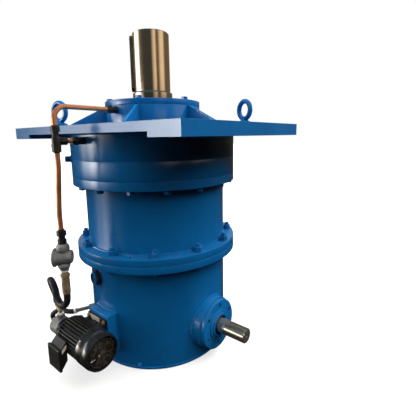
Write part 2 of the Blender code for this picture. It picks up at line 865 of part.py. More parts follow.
def lobe_outline(lobe_turn):
    """The cycloid disc's edge: the path of the ring pins' centres in the disc, set in by the pin radius."""
    inset = RING_PIN_RADIUS + LOBE_CLEARANCE
    points = []
    for angle in spread(LOBES * POINTS_PER_LOBE):
        path = on_circle(PIN_CIRCLE, angle) - on_circle(ECCENTRICITY, RING_PINS * angle)
        along = on_circle(PIN_CIRCLE, angle) - RING_PINS * on_circle(ECCENTRICITY, RING_PINS * angle)
        along.normalize()
        edge = path - inset * along
        edge.rotate(Matrix.Rotation(lobe_turn, 4, "Z"))
        points.append((edge.x, edge.y))
    return points


def output_pin_centres():
    return [on_circle(OUTPUT_PIN_CIRCLE, angle) for angle in spread(OUTPUT_PINS, math.pi / OUTPUT_PINS)]


def cycloid_disc(name, centre_x, lobe_turn, low_z):
    hole = around(OUTPUT_PIN_RADIUS + ECCENTRICITY + OUTPUT_HOLE_CLEARANCE, HOLE_STEPS)
    outlines = [lobe_outline(lobe_turn), circle_points(DISC_BORE, MID_STEPS)]
    outlines += [circle_points(hole, HOLE_STEPS, (centre.x, centre.y)) for centre in output_pin_centres()]
    outline_plate(name, outlines, DISC_THICK, bright_steel(), at=(centre_x, 0, low_z + DISC_THICK / 2))


def disc_heights():
    """The lower faces of the two discs."""
    lower = RING_BOTTOM_Z + DISC_SIDE_GAP
    return lower, lower + DISC_THICK + DISC_MID_GAP


def cycloid_discs():
    lower, upper = disc_heights()
    cycloid_disc("lower_cycloid_disc", ECCENTRICITY, 0.0, lower)
    cycloid_disc("upper_cycloid_disc", -ECCENTRICITY, -math.pi / LOBES, upper)


def eccentric_bearings():
    lower, upper = disc_heights()
    inner = ECCENTRIC_RADIUS + ECCENTRIC_RELIEF
    bore = inside_of(DISC_BORE, MID_STEPS)
    for name, low, x in (
        ("lower_eccentric_bearing", lower, ECCENTRICITY),
        ("upper_eccentric_bearing", upper, -ECCENTRICITY),
    ):
        bearing(name, inner, bore, low, low + DISC_THICK, at=(x, 0, 0))


def flange_bottom():
    return RING_TOP_Z + FLANGE_GAP


def eccentric_shaft():
    """The vertical shaft from the foot bearing to the pilot in the output flange, with its two eccentrics."""
    lower, upper = disc_heights()
    bottom = FOOT_CAP_THICK + END_GAP
    top = flange_bottom() + PILOT_DEPTH - END_GAP
    wide = SHAFT_COLLAR_RADIUS
    web_top = RING_BOTTOM_Z - SEAT / 2
    collar_top = web_top - WEB_THICK - SEAT
    radius = VERTICAL_SHAFT_RADIUS
    profile = [
        (0, top),
        (radius - CHAMFER, top),
        (radius, top - CHAMFER),
        (radius, collar_top),
        (wide, collar_top),
        (wide, collar_top - SHAFT_COLLAR_THICK),
        (radius, collar_top - SHAFT_COLLAR_THICK),
        (radius, bottom + CHAMFER),
        (radius - CHAMFER, bottom),
        (0, bottom),
    ]
    shaft = turned("eccentric_shaft", profile, MID_STEPS, bright_steel())
    for low, x in ((lower, ECCENTRICITY), (upper, -ECCENTRICITY)):
        name = "eccentric_at_" + str(round(low * 1000))
        cam = cylinder(name, ECCENTRIC_RADIUS, DISC_THICK, MID_STEPS, at=(x, 0, low), helper=True)
        join(shaft, cam)


def vertical_shaft_bearings():
    radius = VERTICAL_SHAFT_RADIUS
    housing = inside_of(BEARING_HOUSING_RADIUS, BIG_STEPS)
    web_top = RING_BOTTOM_Z - SEAT / 2
    bearing("upper_web_bearing", radius, housing, web_top - WEB_THICK + END_GAP, web_top - END_GAP)
    foot_low = FOOT_CAP_THICK + SEAT
    bearing("foot_bearing", radius, housing, foot_low, foot_low + FOOT_BEARING_HEIGHT)
    pilot_low = flange_bottom() + END_GAP
    pilot_housing = inside_of(PILOT_BORE, MID_STEPS)
    bearing("pilot_bearing", radius, pilot_housing, pilot_low, pilot_low + PILOT_BEARING_HEIGHT)


def output_heights():
    """The output flange's top, the shaft shoulders and the two bearings' lower faces."""
    flange_top = flange_bottom() + FLANGE_THICK
    upper_low = BOSS_TOP_Z - SEAT - UPPER_BEARING_HEIGHT - LID_RECESS
    lower_low = PLATE_BOTTOM_Z - LOWER_BEARING_HEIGHT
    return flange_top, lower_low, upper_low


def output_shaft():
    """The output shaft with its flange and the pins that drive it through the discs."""
    flange_top, lower_low, upper_low = output_heights()
    bottom = flange_bottom()
    profile = [
        (0, SHAFT_TOP_Z),
        (OUTPUT_RADIUS - CHAMFER, SHAFT_TOP_Z),
        (OUTPUT_RADIUS, SHAFT_TOP_Z - CHAMFER),
        (OUTPUT_RADIUS, COLLAR_TOP_Z + CHAMFER),
        (COLLAR_RADIUS, COLLAR_TOP_Z),
        (COLLAR_RADIUS, BOSS_TOP_Z + SEAT),
        (BEARING_SEAT_RADIUS, BOSS_TOP_Z - SEAT),
        (BEARING_SEAT_RADIUS, upper_low - SEAT),
        (LOWER_SEAT_RADIUS, upper_low - SEAT),
        (LOWER_SEAT_RADIUS, lower_low - SEAT),
        (HUB_RADIUS, lower_low - SEAT),
        (HUB_RADIUS, flange_top),
        (FLANGE_RADIUS, flange_top),
        (FLANGE_RADIUS, bottom),
        (PILOT_BORE, bottom),
        (PILOT_BORE, bottom + PILOT_DEPTH),
        (0, bottom + PILOT_DEPTH),
    ]
    shaft = turned("output_shaft", profile, MID_STEPS, bright_steel())
    lower_disc, _ = disc_heights()
    pin_low = lower_disc + OUTPUT_PIN_TIP
    centres = [(Vector((c.x, c.y, pin_low)), 0.0) for c in output_pin_centres()]
    pins = rows_of_cylinders("output_pins", centres, OUTPUT_PIN_RADIUS, bottom - pin_low + SUNK, SMALL_STEPS)
    join(shaft, place(pins, helper=True))
    slot = key_shape("output_keyway", OUTPUT_RADIUS - KEY_DEPTH - SEAT, 2 * KEY_PROUD, SEAT, helper=True)
    cut(shaft, slot)


def key_shape(name, inner, outer, clearance, finish=None, helper=False):
    """A parallel key with round ends, or its keyway, between two radii at the key's angle."""
    half_width = KEY_WIDTH / 2
    half_straight = (KEY_TOP_Z - KEY_BOTTOM_Z) / 2 - half_width
    outline = []
    for end, first in ((half_straight, 0.0), (-half_straight, math.pi)):
        for step in range(KEY_END_STEPS + 1):
            point = on_circle(half_width + clearance, first + math.pi * step / KEY_END_STEPS)
            outline.append((point.x, point.y + end))
    thick = OUTPUT_RADIUS + outer - inner
    middle = (KEY_TOP_Z + KEY_BOTTOM_Z) / 2
    at = on_circle(inner + thick / 2, KEY_ANGLE, middle)
    return outline_plate(name, [outline], thick, finish, at=at, turn=outward(KEY_ANGLE), helper=helper)


def output_key():
    key = key_shape("output_key", OUTPUT_RADIUS - KEY_DEPTH, KEY_PROUD, 0.0, bright_steel())
    bevel = key.modifiers.new("Edges", "BEVEL")
    bevel.width = EDGE / 2
    bevel.segments = 1


def output_bearings():
    _, lower_low, upper_low = output_heights()
    upper_bore = inside_of(UPPER_BEARING_BORE, BIG_STEPS)
    lower_bore = inside_of(LOWER_BEARING_BORE, BIG_STEPS)
    upper_high = upper_low + UPPER_BEARING_HEIGHT
    bearing("upper_output_bearing", BEARING_SEAT_RADIUS, upper_bore, upper_low, upper_high)
    bearing("lower_output_bearing", LOWER_SEAT_RADIUS, lower_bore, lower_low, PLATE_BOTTOM_Z - SEAT)


def gusset(index, angle):
    """One triangular gusset between the plate and the boss."""
    foot = BOSS_RADIUS + GUSSET_REACH
    root = BOSS_RADIUS - GUSSET_ROOT
    top = BOSS_TOP_Z - GUSSET_TOP_BELOW_BOSS
    low = PLATE_TOP_Z - GUSSET_SUNK
    outline = [
        (root, low),
        (foot, low),
        (foot, PLATE_TOP_Z + GUSSET_TIP),
        (BOSS_RADIUS + GUSSET_TIP, top),
        (root, top),
    ]
    return outline_plate(
        "gusset_" + str(index), [outline], GUSSET_THICK, turn=(math.pi / 2, 0, angle), helper=True
    )


def upper_housing():
    """The drum's top, the mounting plate with its rails, and the gusseted boss, welded into one."""
    drum_low = RING_TOP_Z + SEAT / 2
    housing = box(
        "upper_housing",
        (-PLATE_HALF_X, -PLATE_HALF_Y, PLATE_BOTTOM_Z),
        (PLATE_HALF_X, PLATE_HALF_Y, PLATE_TOP_Z),
        blue_paint(),
    )
    drum = cylinder(
        "drum_top",
        DRUM_RADIUS,
        PLATE_BOTTOM_Z - drum_low + SUNK,
        BIG_STEPS,
        at=(0, 0, drum_low),
        helper=True,
    )
    boss = cylinder(
        "shaft_boss",
        BOSS_RADIUS,
        BOSS_HEIGHT + SUNK,
        BIG_STEPS,
        at=(0, 0, PLATE_TOP_Z - SUNK),
        helper=True,
    )
    join(housing, drum, boss)
    for side in (-1, 1):
        edge = side * PLATE_HALF_X
        inner = side * (PLATE_HALF_X - RAIL_WIDTH)
        rail = box(
            "rail_" + ("minus" if side < 0 else "plus"),
            (min(edge, inner), -PLATE_HALF_Y, PLATE_BOTTOM_Z - RAIL_HEIGHT),
            (max(edge, inner), PLATE_HALF_Y, PLATE_BOTTOM_Z + SUNK),
            helper=True,
        )
        join(housing, rail)
    for index, angle in enumerate(spread(GUSSET_COUNT)):
        join(housing, gusset(index, angle))
    flange_top, lower_low, upper_low = output_heights()
    cavity_top = flange_top + FLANGE_GAP
    throat = (LOWER_BEARING_BORE + LOWER_SEAT_RADIUS) / 2 + BEARING_SHOULDER
    above = BOSS_TOP_Z + SUNK
    below = drum_low - SUNK
    bore_profile = [
        (0, above),
        (UPPER_BEARING_BORE, above),
        (UPPER_BEARING_BORE, upper_low - SEAT),
        (throat, upper_low - SEAT),
        (throat, PLATE_BOTTOM_Z),
        (LOWER_BEARING_BORE, PLATE_BOTTOM_Z),
        (LOWER_BEARING_BORE, cavity_top),
        (RING_BORE, cavity_top),
        (RING_BORE, below),
        (0, below),
    ]
    cut(housing, turned("shaft_bore", bore_profile, BIG_STEPS, helper=True))


def shaft_lid():
    """The boss's cover, with its bolts and the bore for the shaft seal."""
    low = BOSS_TOP_Z + SEAT
    land = COLLAR_RADIUS + LID_LAND_GAP
    profile = [
        (BOSS_RADIUS - EDGE, LID_TOP_Z),
        (BOSS_RADIUS, LID_TOP_Z - EDGE),
        (BOSS_RADIUS, low),
        (land, low),
        (land, LID_TOP_Z - SEAL_HEIGHT - SEAT),
        (SEAL_RADIUS, LID_TOP_Z - SEAL_HEIGHT - SEAT),
        (SEAL_RADIUS, LID_TOP_Z),
    ]
    lid = turned("shaft_lid", profile, BIG_STEPS, blue_paint())
    heads = hex_heads(
        "lid_bolts",
        BOSS_RADIUS - LID_BOLT_MARGIN,
        LID_BOLT_COUNT,
        0.0,
        LID_BOLT_FLATS,
        LID_TOP_Z - SUNK,
        LID_TOP_Z + LID_BOLT_HEAD,
    )
    join(lid, heads)


def output_seal():
    outer = inside_of(SEAL_RADIUS, BIG_STEPS)
    inner = around(COLLAR_RADIUS, MID_STEPS)
    low = LID_TOP_Z - SEAL_HEIGHT
    profile = [
        (outer, LID_TOP_Z - SEAL_RECESS),
        (outer, low),
        (inner, low),
        (inner, low + SEAL_LIP_HEIGHT),
        (inner + SEAL_LIP_WIDTH, LID_TOP_Z - SEAL_RECESS),
    ]
    turned("output_seal", profile, MID_STEPS, black_rubber())


def pitch_radii():
    return GEAR_MODULE * PINION_TEETH / 2, GEAR_MODULE * WHEEL_TEETH / 2


def lofted_ring(name, loops, finish, **where):
    """A ring of loops with equal counts, each joined to the next and the last to the first."""
    bm = bmesh.new()
    rings = [[bm.verts.new(point) for point in loop] for loop in loops]
    for ring, following in zip(rings, rings[1:] + rings[:1]):
        count = len(ring)
        for index in range(count):
            after = (index + 1) % count
            bm.faces.new((ring[index], ring[after], following[after], following[index]))
    bmesh.ops.recalc_face_normals(bm, faces=bm.faces)
    return place(mesh_object(name, bm), finish, **where)


def bevel_gear(name, teeth, pitch, apex_distance, back, shaft_radius, first, **where):
    """A straight bevel gear about local Z: its apex at the origin and its big end at +Z."""
    widest_facet = math.pi / teeth * (1 - TOOTH_ROOT_SHARE)
    bore = (shaft_radius + SEAT) / math.cos(widest_facet)
    slant = math.hypot(pitch, apex_distance)
    sine = pitch / slant
    cosine = apex_distance / slant
    tip = (pitch + ADDENDUM * GEAR_MODULE * cosine, apex_distance - ADDENDUM * GEAR_MODULE * sine)
    root = (pitch - DEDENDUM * GEAR_MODULE * cosine, apex_distance + DEDENDUM * GEAR_MODULE * sine)
    step = 2 * math.pi / teeth
    stations = [
        (root, -TOOTH_ROOT_SHARE / 2),
        (tip, -TOOTH_TIP_SHARE / 2),
        (tip, TOOTH_TIP_SHARE / 2),
        (root, TOOTH_ROOT_SHARE / 2),
    ]
    rim = [(form, first + (tooth + share) * step) for tooth in range(teeth) for form, share in stations]
    small = 1 - GEAR_FACE_SHARE
    back_z = root[1] + back
    front_z = root[1] * small - GEAR_FRONT

    def circle(radius, z):
        return [on_circle(radius, angle, z) for _, angle in rim]

    loops = [
        [on_circle(r * small, angle, z * small) for (r, z), angle in rim],
        [on_circle(r, angle, z) for (r, z), angle in rim],
        circle(root[0], back_z),
        circle(bore, back_z),
        circle(bore, front_z),
    ]
    return lofted_ring(name, loops, bright_steel(), **where)


def bevel_gears():
    pinion_pitch, wheel_pitch = pitch_radii()
    bevel_gear(
        "bevel_wheel",
        WHEEL_TEETH,
        wheel_pitch,
        pinion_pitch,
        WHEEL_BACK,
        VERTICAL_SHAFT_RADIUS,
        0.0,
        at=(0, 0, INPUT_Z),
    )
    bevel_gear(
        "bevel_pinion",
        PINION_TEETH,
        pinion_pitch,
        wheel_pitch,
        PINION_BACK,
        INPUT_SHAFT_RADIUS - PINION_SHOULDER,
        math.pi / PINION_TEETH + math.pi,
        at=(0, 0, INPUT_Z),
        turn=to_x(),
    )


def input_shaft():
    """The horizontal shaft, its journal with a groove and a keyway for the driving half coupling."""
    _, wheel_pitch = pitch_radii()
    pinion_seat = INPUT_SHAFT_RADIUS - PINION_SHOULDER
    pinion_end = wheel_pitch + DEDENDUM * GEAR_MODULE + PINION_BACK
    pinion_seat_end = wheel_pitch * (1 - GEAR_FACE_SHARE) - PINION_SEAT_END
    radius = INPUT_SHAFT_RADIUS
    groove = radius - INPUT_GROOVE_DEPTH
    profile = [
        (0, INPUT_SHAFT_END_X),
        (radius - INPUT_END_CHAMFER, INPUT_SHAFT_END_X),
        (radius, INPUT_SHAFT_END_X - INPUT_END_CHAMFER),
        (radius, INPUT_COLLAR_END_X + INPUT_GROOVE_WIDTH),
        (groove, INPUT_COLLAR_END_X + INPUT_GROOVE_WIDTH),
        (groove, INPUT_COLLAR_END_X),
        (INPUT_COLLAR_RADIUS, INPUT_COLLAR_END_X),
        (INPUT_COLLAR_RADIUS, pinion_end),
        (pinion_seat, pinion_end),
        (pinion_seat, pinion_seat_end),
        (0, pinion_seat_end),
    ]
    shaft = turned("input_shaft", profile, MID_STEPS, bright_steel(), at=(0, 0, INPUT_Z), turn=to_x())
    half_width = INPUT_KEYWAY_WIDTH / 2
    keyway_start_x = INPUT_COLLAR_END_X + INPUT_KEYWAY_GAP
    keyway = box(
        "input_keyway",
        (keyway_start_x, -half_width, INPUT_Z + radius - INPUT_KEYWAY_DEPTH),
        (INPUT_SHAFT_END_X + SUNK, half_width, INPUT_Z + radius + SUNK),
        helper=True,
    )
    cut(shaft, keyway)


def input_bearings():
    housing = inside_of(INPUT_BEARING_RADIUS, MID_STEPS)
    outer_high = INPUT_BOSS_FACE_X - INPUT_BEARING_RECESS
    inner_low = INPUT_BOSS_INNER_X + END_GAP
    for name, low in (
        ("inner_input_bearing", inner_low),
        ("outer_input_bearing", outer_high - INPUT_BEARING_WIDTH),
    ):
        bearing(
            name,
            INPUT_COLLAR_RADIUS,
            housing,
            low,
            low + INPUT_BEARING_WIDTH,
            at=(0, 0, INPUT_Z),
            turn=to_x(),
        )


def input_cover():
    """The round cover of the input boss, stepped towards the shaft, with six sunk screws."""
    low = INPUT_BOSS_FACE_X + SEAT
    face = INPUT_COVER_FACE_X
    land = INPUT_COLLAR_RADIUS + EDGE
    seal_low = face - INPUT_SEAL_DEPTH
    profile = [
        (INPUT_STEP_RADIUS, face + INPUT_STEP_PROUD),
        (INPUT_STEP_RADIUS, face + INPUT_RING_PROUD),
        (INPUT_RING_RADIUS, face + INPUT_RING_PROUD),
        (INPUT_RING_RADIUS, face),
        (INPUT_COVER_RADIUS - INPUT_COVER_EDGE, face),
        (INPUT_COVER_RADIUS, face - INPUT_COVER_EDGE),
        (INPUT_COVER_RADIUS, low),
        (land, low),
        (land, seal_low),
        (INPUT_SEAL_RADIUS, seal_low),
        (INPUT_SEAL_RADIUS, face + INPUT_STEP_PROUD),
    ]
    cover = turned("input_cover", profile, MID_STEPS, blue_paint(), at=(0, 0, INPUT_Z), turn=to_x())
    centres = [
        (on_circle(INPUT_SCREW_CIRCLE, angle + math.pi / 2, face - INPUT_SCREW_DEPTH), 0.0)
        for angle in spread(INPUT_SCREWS, INPUT_SCREW_FIRST)
    ]
    depth = INPUT_SCREW_DEPTH + SUNK
    holes = rows_of_cylinders("screw_recesses", centres, INPUT_SCREW_HOLE, depth, BOLT_HOLE_STEPS)
    cut(cover, place(holes, at=(0, 0, INPUT_Z), turn=to_x(), helper=True))


def input_seal():
    face = INPUT_COVER_FACE_X
    outer = inside_of(INPUT_SEAL_RADIUS, MID_STEPS)
    inner = around(INPUT_COLLAR_RADIUS, BEARING_STEPS)
    low = face - INPUT_SEAL_DEPTH + SUNK
    profile = ring_profile(outer, inner, low, face + INPUT_STEP_PROUD - EDGE)
    turned("input_seal", profile, BEARING_STEPS, black_rubber(), at=(0, 0, INPUT_Z), turn=to_x())


def eye_bolt(name, x, y, turn):
    """A lifting eye: a ring on a collar that stands on the plate."""
    base = PLATE_TOP_Z + SEAT
    centre = PLATE_TOP_Z + EYE_LIFT
    bm = bmesh.new()
    segments = EYE_WIRE_STEPS
    loops = []
    for angle in spread(EYE_STEPS):
        middle = Vector((EYE_RING_RADIUS * math.cos(angle), 0, EYE_RING_RADIUS * math.sin(angle)))
        side = Vector((math.cos(angle), 0, math.sin(angle)))
        ring = [
            bm.verts.new(middle + EYE_WIRE_RADIUS * (math.cos(a) * side + math.sin(a) * Vector((0, 1, 0))))
            for a in spread(segments)
        ]
        loops.append(ring)
    for ring, following in zip(loops, loops[1:] + loops[:1]):
        for index in range(segments):
            after = (index + 1) % segments
            bm.faces.new((ring[index], following[index], following[after], ring[after]))
    bmesh.ops.recalc_face_normals(bm, faces=bm.faces)
    ring_helper = place(mesh_object(name + "_ring", bm), at=(x, y, centre), turn=(0, 0, turn), helper=True)
    neck_top = EYE_LIFT - EYE_RING_RADIUS
    profile = [
        (0, neck_top),
        (EYE_NECK_TOP_RADIUS, neck_top),
        (EYE_NECK_RADIUS, EYE_COLLAR_HEIGHT + CHAMFER),
        (EYE_COLLAR_RADIUS, EYE_COLLAR_HEIGHT),
        (EYE_COLLAR_RADIUS, 0),
        (0, 0),
    ]
    collar = turned(name, profile, SMALL_STEPS, blue_paint(), at=(x, y, base))
    join(collar, ring_helper)


def eye_bolts():
    eye_bolt("left_eye_bolt", -EYE_X, -EYE_Y, EYE_LEFT_TURN)
    eye_bolt("right_eye_bolt", EYE_X, EYE_Y, EYE_RIGHT_TURN)


def motor_frame():
    """The finned frame with its two foot rails, lying with the feet towards the bracket."""
    step = 2 * math.pi / MOTOR_FINS
    outline = []
    for angle in spread(MOTOR_FINS):
        for radius, share in (
            (MOTOR_ROOT_RADIUS, -(1 - MOTOR_FIN_SHARE) / 2),
            (MOTOR_ROOT_RADIUS, -MOTOR_FIN_SHARE / 2),
            (MOTOR_FIN_RADIUS, -MOTOR_FIN_SHARE / 3),
            (MOTOR_FIN_RADIUS, MOTOR_FIN_SHARE / 3),
        ):
            point = on_circle(radius, angle + share * step)
            outline.append((point.x, point.y))
        last = on_circle(MOTOR_ROOT_RADIUS, angle + MOTOR_FIN_SHARE / 2 * step)
        outline.append((last.x, last.y))
    low = MOTOR_SHIELD_X + SEAT
    high = MOTOR_FRAME_END_X
    frame = outline_plate(
        "motor_frame",
        [outline, circle_points(MOTOR_BORE, MID_STEPS)],
        high - low,
        motor_black(),
        at=((low + high) / 2, MOTOR_Y, MOTOR_Z),
        turn=to_x(),
    )
    foot_face = BRACKET_FACE_Y - SEAT
    low_x = MOTOR_FOOT_X[0] - MOTOR_FOOT_END
    high_x = MOTOR_FOOT_X[1] + MOTOR_FOOT_END
    half_width = MOTOR_FOOT_WIDTH / 2
    for side in (-1, 1):
        middle = MOTOR_Z + side * MOTOR_FOOT_SPREAD / 2
        pad = box(
            "foot_pad_" + str(side + 1),
            (low_x, foot_face - MOTOR_FOOT_THICK, middle - half_width),
            (high_x, foot_face, middle + half_width),
            helper=True,
        )
        inner = MOTOR_Z + side * (MOTOR_FOOT_SPREAD / 2 - half_width + MOTOR_LEG_MARGIN)
        leg_z = sorted((inner, middle - side * MOTOR_LEG_THICK))
        leg = box(
            "foot_leg_" + str(side + 1),
            (low_x + MOTOR_LEG_INSET, MOTOR_Y + MOTOR_LEG_ROOT, leg_z[0] - MOTOR_LEG_DROP),
            (high_x - MOTOR_LEG_INSET, foot_face - MOTOR_LEG_THICK, leg_z[1] - MOTOR_LEG_DROP),
            helper=True,
        )
        bolts = [(Vector((x, middle + side * MOTOR_BOLT_OUTSET, 0)), 0.0) for x in MOTOR_FOOT_X]
        corner = MOTOR_BOLT_FLATS / math.sqrt(3)
        heads = rows_of_cylinders("foot_bolts_" + str(side + 1), bolts, corner, MOTOR_BOLT_HEAD + SUNK, 6)
        head_y = foot_face - MOTOR_FOOT_THICK + SUNK
        join(frame, pad, leg, place(heads, at=(0, head_y, 0), turn=to_minus_y(), helper=True))


def motor_end_shield():
    """The drive-end shield, a dished ring with the pump's register."""
    low = MOTOR_DRIVE_X
    high = MOTOR_SHIELD_X
    profile = [
        (MOTOR_FIN_RADIUS - EDGE, high),
        (MOTOR_FIN_RADIUS - EDGE, high - SHIELD_RIM),
        (ADAPTER_RADIUS, low),
        (SHIELD_BORE, low),
        (SHIELD_BORE, high),
    ]
    turned("motor_end_shield", profile, MID_STEPS, motor_black(), at=(0, MOTOR_Y, MOTOR_Z), turn=to_x())


def motor_stator():
    outer = inside_of(MOTOR_BORE, MID_STEPS)
    low = MOTOR_SHIELD_X + STATOR_END_GAP
    profile = ring_profile(outer, STATOR_BORE, low, MOTOR_FRAME_END_X - STATOR_END_GAP)
    turned("motor_stator", profile, BEARING_STEPS, cast_iron(), at=(0, MOTOR_Y, MOTOR_Z), turn=to_x())


def motor_rotor():
    """The rotor and its shaft, which drives the pump at one end and the fan at the other."""
    low = MOTOR_SHIELD_X + ROTOR_END_GAP
    high = MOTOR_FRAME_END_X - ROTOR_END_GAP
    radius = MOTOR_SHAFT_RADIUS
    profile = [
        (0, MOTOR_END_X - ROTOR_TAIL),
        (radius, MOTOR_END_X - ROTOR_TAIL),
        (radius, high),
        (ROTOR_RADIUS - RUNNING, high),
        (ROTOR_RADIUS - RUNNING, low),
        (radius, low),
        (radius, PUMP_FACE_X + END_GAP),
        (PUMP_SHAFT_RADIUS, PUMP_FACE_X + END_GAP),
        (PUMP_SHAFT_RADIUS, PUMP_COVER_X + PUMP_SHAFT_END),
        (0, PUMP_COVER_X + PUMP_SHAFT_END),
    ]
    turned("motor_rotor", profile, SMALL_STEPS, bright_steel(), at=(0, MOTOR_Y, MOTOR_Z), turn=to_x())


def motor_fan():
    """The fan: straight radial blades on a hub."""
    low = MOTOR_END_X - FAN_BACK
    hub = turned(
        "motor_fan",
        ring_profile(FAN_HUB_RADIUS, around(MOTOR_SHAFT_RADIUS, SMALL_STEPS), low, low + FAN_WIDTH),
        SMALL_STEPS,
        motor_black(),
        at=(0, MOTOR_Y, MOTOR_Z),
        turn=to_x(),
    )
    for index, angle in enumerate(spread(FAN_BLADES)):
        blade = box(
            "fan_blade_" + str(index),
            (FAN_HUB_RADIUS - END_GAP, -FAN_BLADE_THICK / 2, FAN_BLADE_INSET),
            (FAN_TIP_RADIUS, FAN_BLADE_THICK / 2, FAN_WIDTH - FAN_BLADE_INSET),
            helper=True,
        )
        blade.matrix_world = (
            Matrix.Translation((low, MOTOR_Y, MOTOR_Z))
            @ Matrix.Rotation(math.pi / 2, 4, "Y")
            @ Matrix.Rotation(angle, 4, "Z")
        )
        join(hub, blade)


def motor_fan_cover():
    """The pressed fan cover with a round grille of rings and bars in its end."""
    low = MOTOR_FRAME_END_X + SEAT
    end = MOTOR_END_X
    bend = end - FAN_COVER_END_BEND
    wall = FAN_COVER_WALL
    lip = FAN_COVER_LIP_RADIUS
    opening = lip - FAN_COVER_LIP_WIDTH
    profile = [
        (lip, end),
        (FAN_COVER_RADIUS, bend),
        (FAN_COVER_RADIUS, low),
        (FAN_COVER_RADIUS - wall, low),
        (FAN_COVER_RADIUS - wall, bend - FAN_BLADE_INSET),
        (lip - wall, end - wall),
        (opening, end - wall),
        (opening, end),
    ]
    at = (0, MOTOR_Y, MOTOR_Z)
    cover = turned("motor_fan_cover", profile, MID_STEPS, motor_black(), at=at, turn=to_x())
    bar = GRILLE_BAR
    ring_back, ring_front = GRILLE_RING_FACES
    spoke_back, spoke_front = GRILLE_SPOKE_FACES
    span = opening - GRILLE_HUB_RADIUS
    for ring in range(GRILLE_RINGS + 1):
        radius = GRILLE_HUB_RADIUS + span * ring / (GRILLE_RINGS + 1)
        ring_helper = turned(
            "grille_ring_" + str(ring),
            ring_profile(radius + bar / 2, radius - bar / 2, end - ring_back, end - ring_front),
            BEARING_STEPS,
            at=at,
            turn=to_x(),
            helper=True,
        )
        join(cover, ring_helper)
    for index in range(GRILLE_SPOKES):
        spoke = box(
            "grille_spoke_" + str(index),
            (-opening - 2 * SUNK, -bar / 2, end - spoke_back),
            (opening + 2 * SUNK, bar / 2, end - spoke_front),
            helper=True,
        )
        spoke.matrix_world = (
            Matrix.Translation(at)
            @ Matrix.Rotation(math.pi / 2, 4, "Y")
            @ Matrix.Rotation(math.pi * (index + 0.5) / GRILLE_SPOKES, 4, "Z")
        )
        join(cover, spoke)


def terminal_outline():
    """The terminal box's side in Y and Z: it leans down away from the frame."""
    frame_y = MOTOR_Y - MOTOR_FIN_RADIUS - SEAT
    lid_y = TERMINAL_OUTER_Y + TERMINAL_LID_THICK + SEAT
    root_low, root_high = TERMINAL_ROOT_Z
    lid_low, lid_high = TERMINAL_LID_Z
    return [(frame_y, root_low), (frame_y, root_high), (lid_y, lid_high), (lid_y, lid_low)]


def terminal_box():
    thick = TERMINAL_MAX_X - TERMINAL_MIN_X
    middle = (TERMINAL_MAX_X + TERMINAL_MIN_X) / 2
    outline = [(-z, y) for y, z in terminal_outline()]
    made = outline_plate("terminal_box", [outline], thick, motor_black(), at=(middle, 0, 0), turn=to_x())
    bevel = made.modifiers.new("Edges", "BEVEL")
    bevel.width = TERMINAL_EDGE
    bevel.segments = 1


def terminal_lid():
    rim = TERMINAL_EDGE
    low, high = TERMINAL_LID_Z
    lid = box(
        "terminal_lid",
        (TERMINAL_MIN_X - rim, TERMINAL_OUTER_Y, low - rim),
        (TERMINAL_MAX_X + rim, TERMINAL_OUTER_Y + TERMINAL_LID_THICK, high + rim),
        motor_black(),
    )
    bevel = lid.modifiers.new("Edges", "BEVEL")
    bevel.width = TERMINAL_EDGE
    bevel.segments = 1


def pump_adapter():
    """The lantern between the motor's shield and the pump."""
    high = MOTOR_DRIVE_X - SEAT
    low = PUMP_FACE_X + SEAT
    profile = [
        (ADAPTER_RADIUS, high),
        (ADAPTER_RADIUS, high - ADAPTER_FLANGE),
        (ADAPTER_NECK_RADIUS, high - ADAPTER_FLANGE),
        (ADAPTER_NECK_RADIUS, low + ADAPTER_FLANGE),
        (PUMP_RADIUS, low + ADAPTER_FLANGE),
        (PUMP_RADIUS, low),
        (ADAPTER_BORE, low),
        (ADAPTER_BORE, high),
    ]
    turned("pump_adapter", profile, BEARING_STEPS, motor_black(), at=(0, MOTOR_Y, MOTOR_Z), turn=to_x())


def pump_gear_outline(first):
    """A pump gear: a tooth of three points for each step round."""
    points = []
    step = 2 * math.pi / PUMP_GEAR_TEETH
    for angle in spread(PUMP_GEAR_TEETH, first):
        for radius, share in (
            (PUMP_GEAR_PITCH - PUMP_GEAR_TOOTH, -0.30),
            (PUMP_GEAR_PITCH + PUMP_GEAR_TOOTH * PUMP_TOOTH_TIP, -0.10),
            (PUMP_GEAR_PITCH + PUMP_GEAR_TOOTH * PUMP_TOOTH_TIP, 0.10),
            (PUMP_GEAR_PITCH - PUMP_GEAR_TOOTH, 0.30),
        ):
            point = on_circle(radius, angle + share * step)
            points.append((point.x, point.y))
    return points


def pump_gears():
    """The driving gear on the motor's axis and the driven one below it."""
    middle = (PUMP_FACE_X + PUMP_COVER_X) / 2
    for name, z, first in (
        ("pump_drive_gear", MOTOR_Z, 0.0),
        ("pump_driven_gear", MOTOR_Z - 2 * PUMP_GEAR_PITCH, math.pi + math.pi / PUMP_GEAR_TEETH),
    ):
        outline_plate(
            name,
            [pump_gear_outline(first), circle_points(around(PUMP_SHAFT_RADIUS, SMALL_STEPS), SMALL_STEPS)],
            PUMP_GEAR_WIDTH,
            bright_steel(),
            at=(middle, MOTOR_Y, z),
            turn=to_x(),
        )


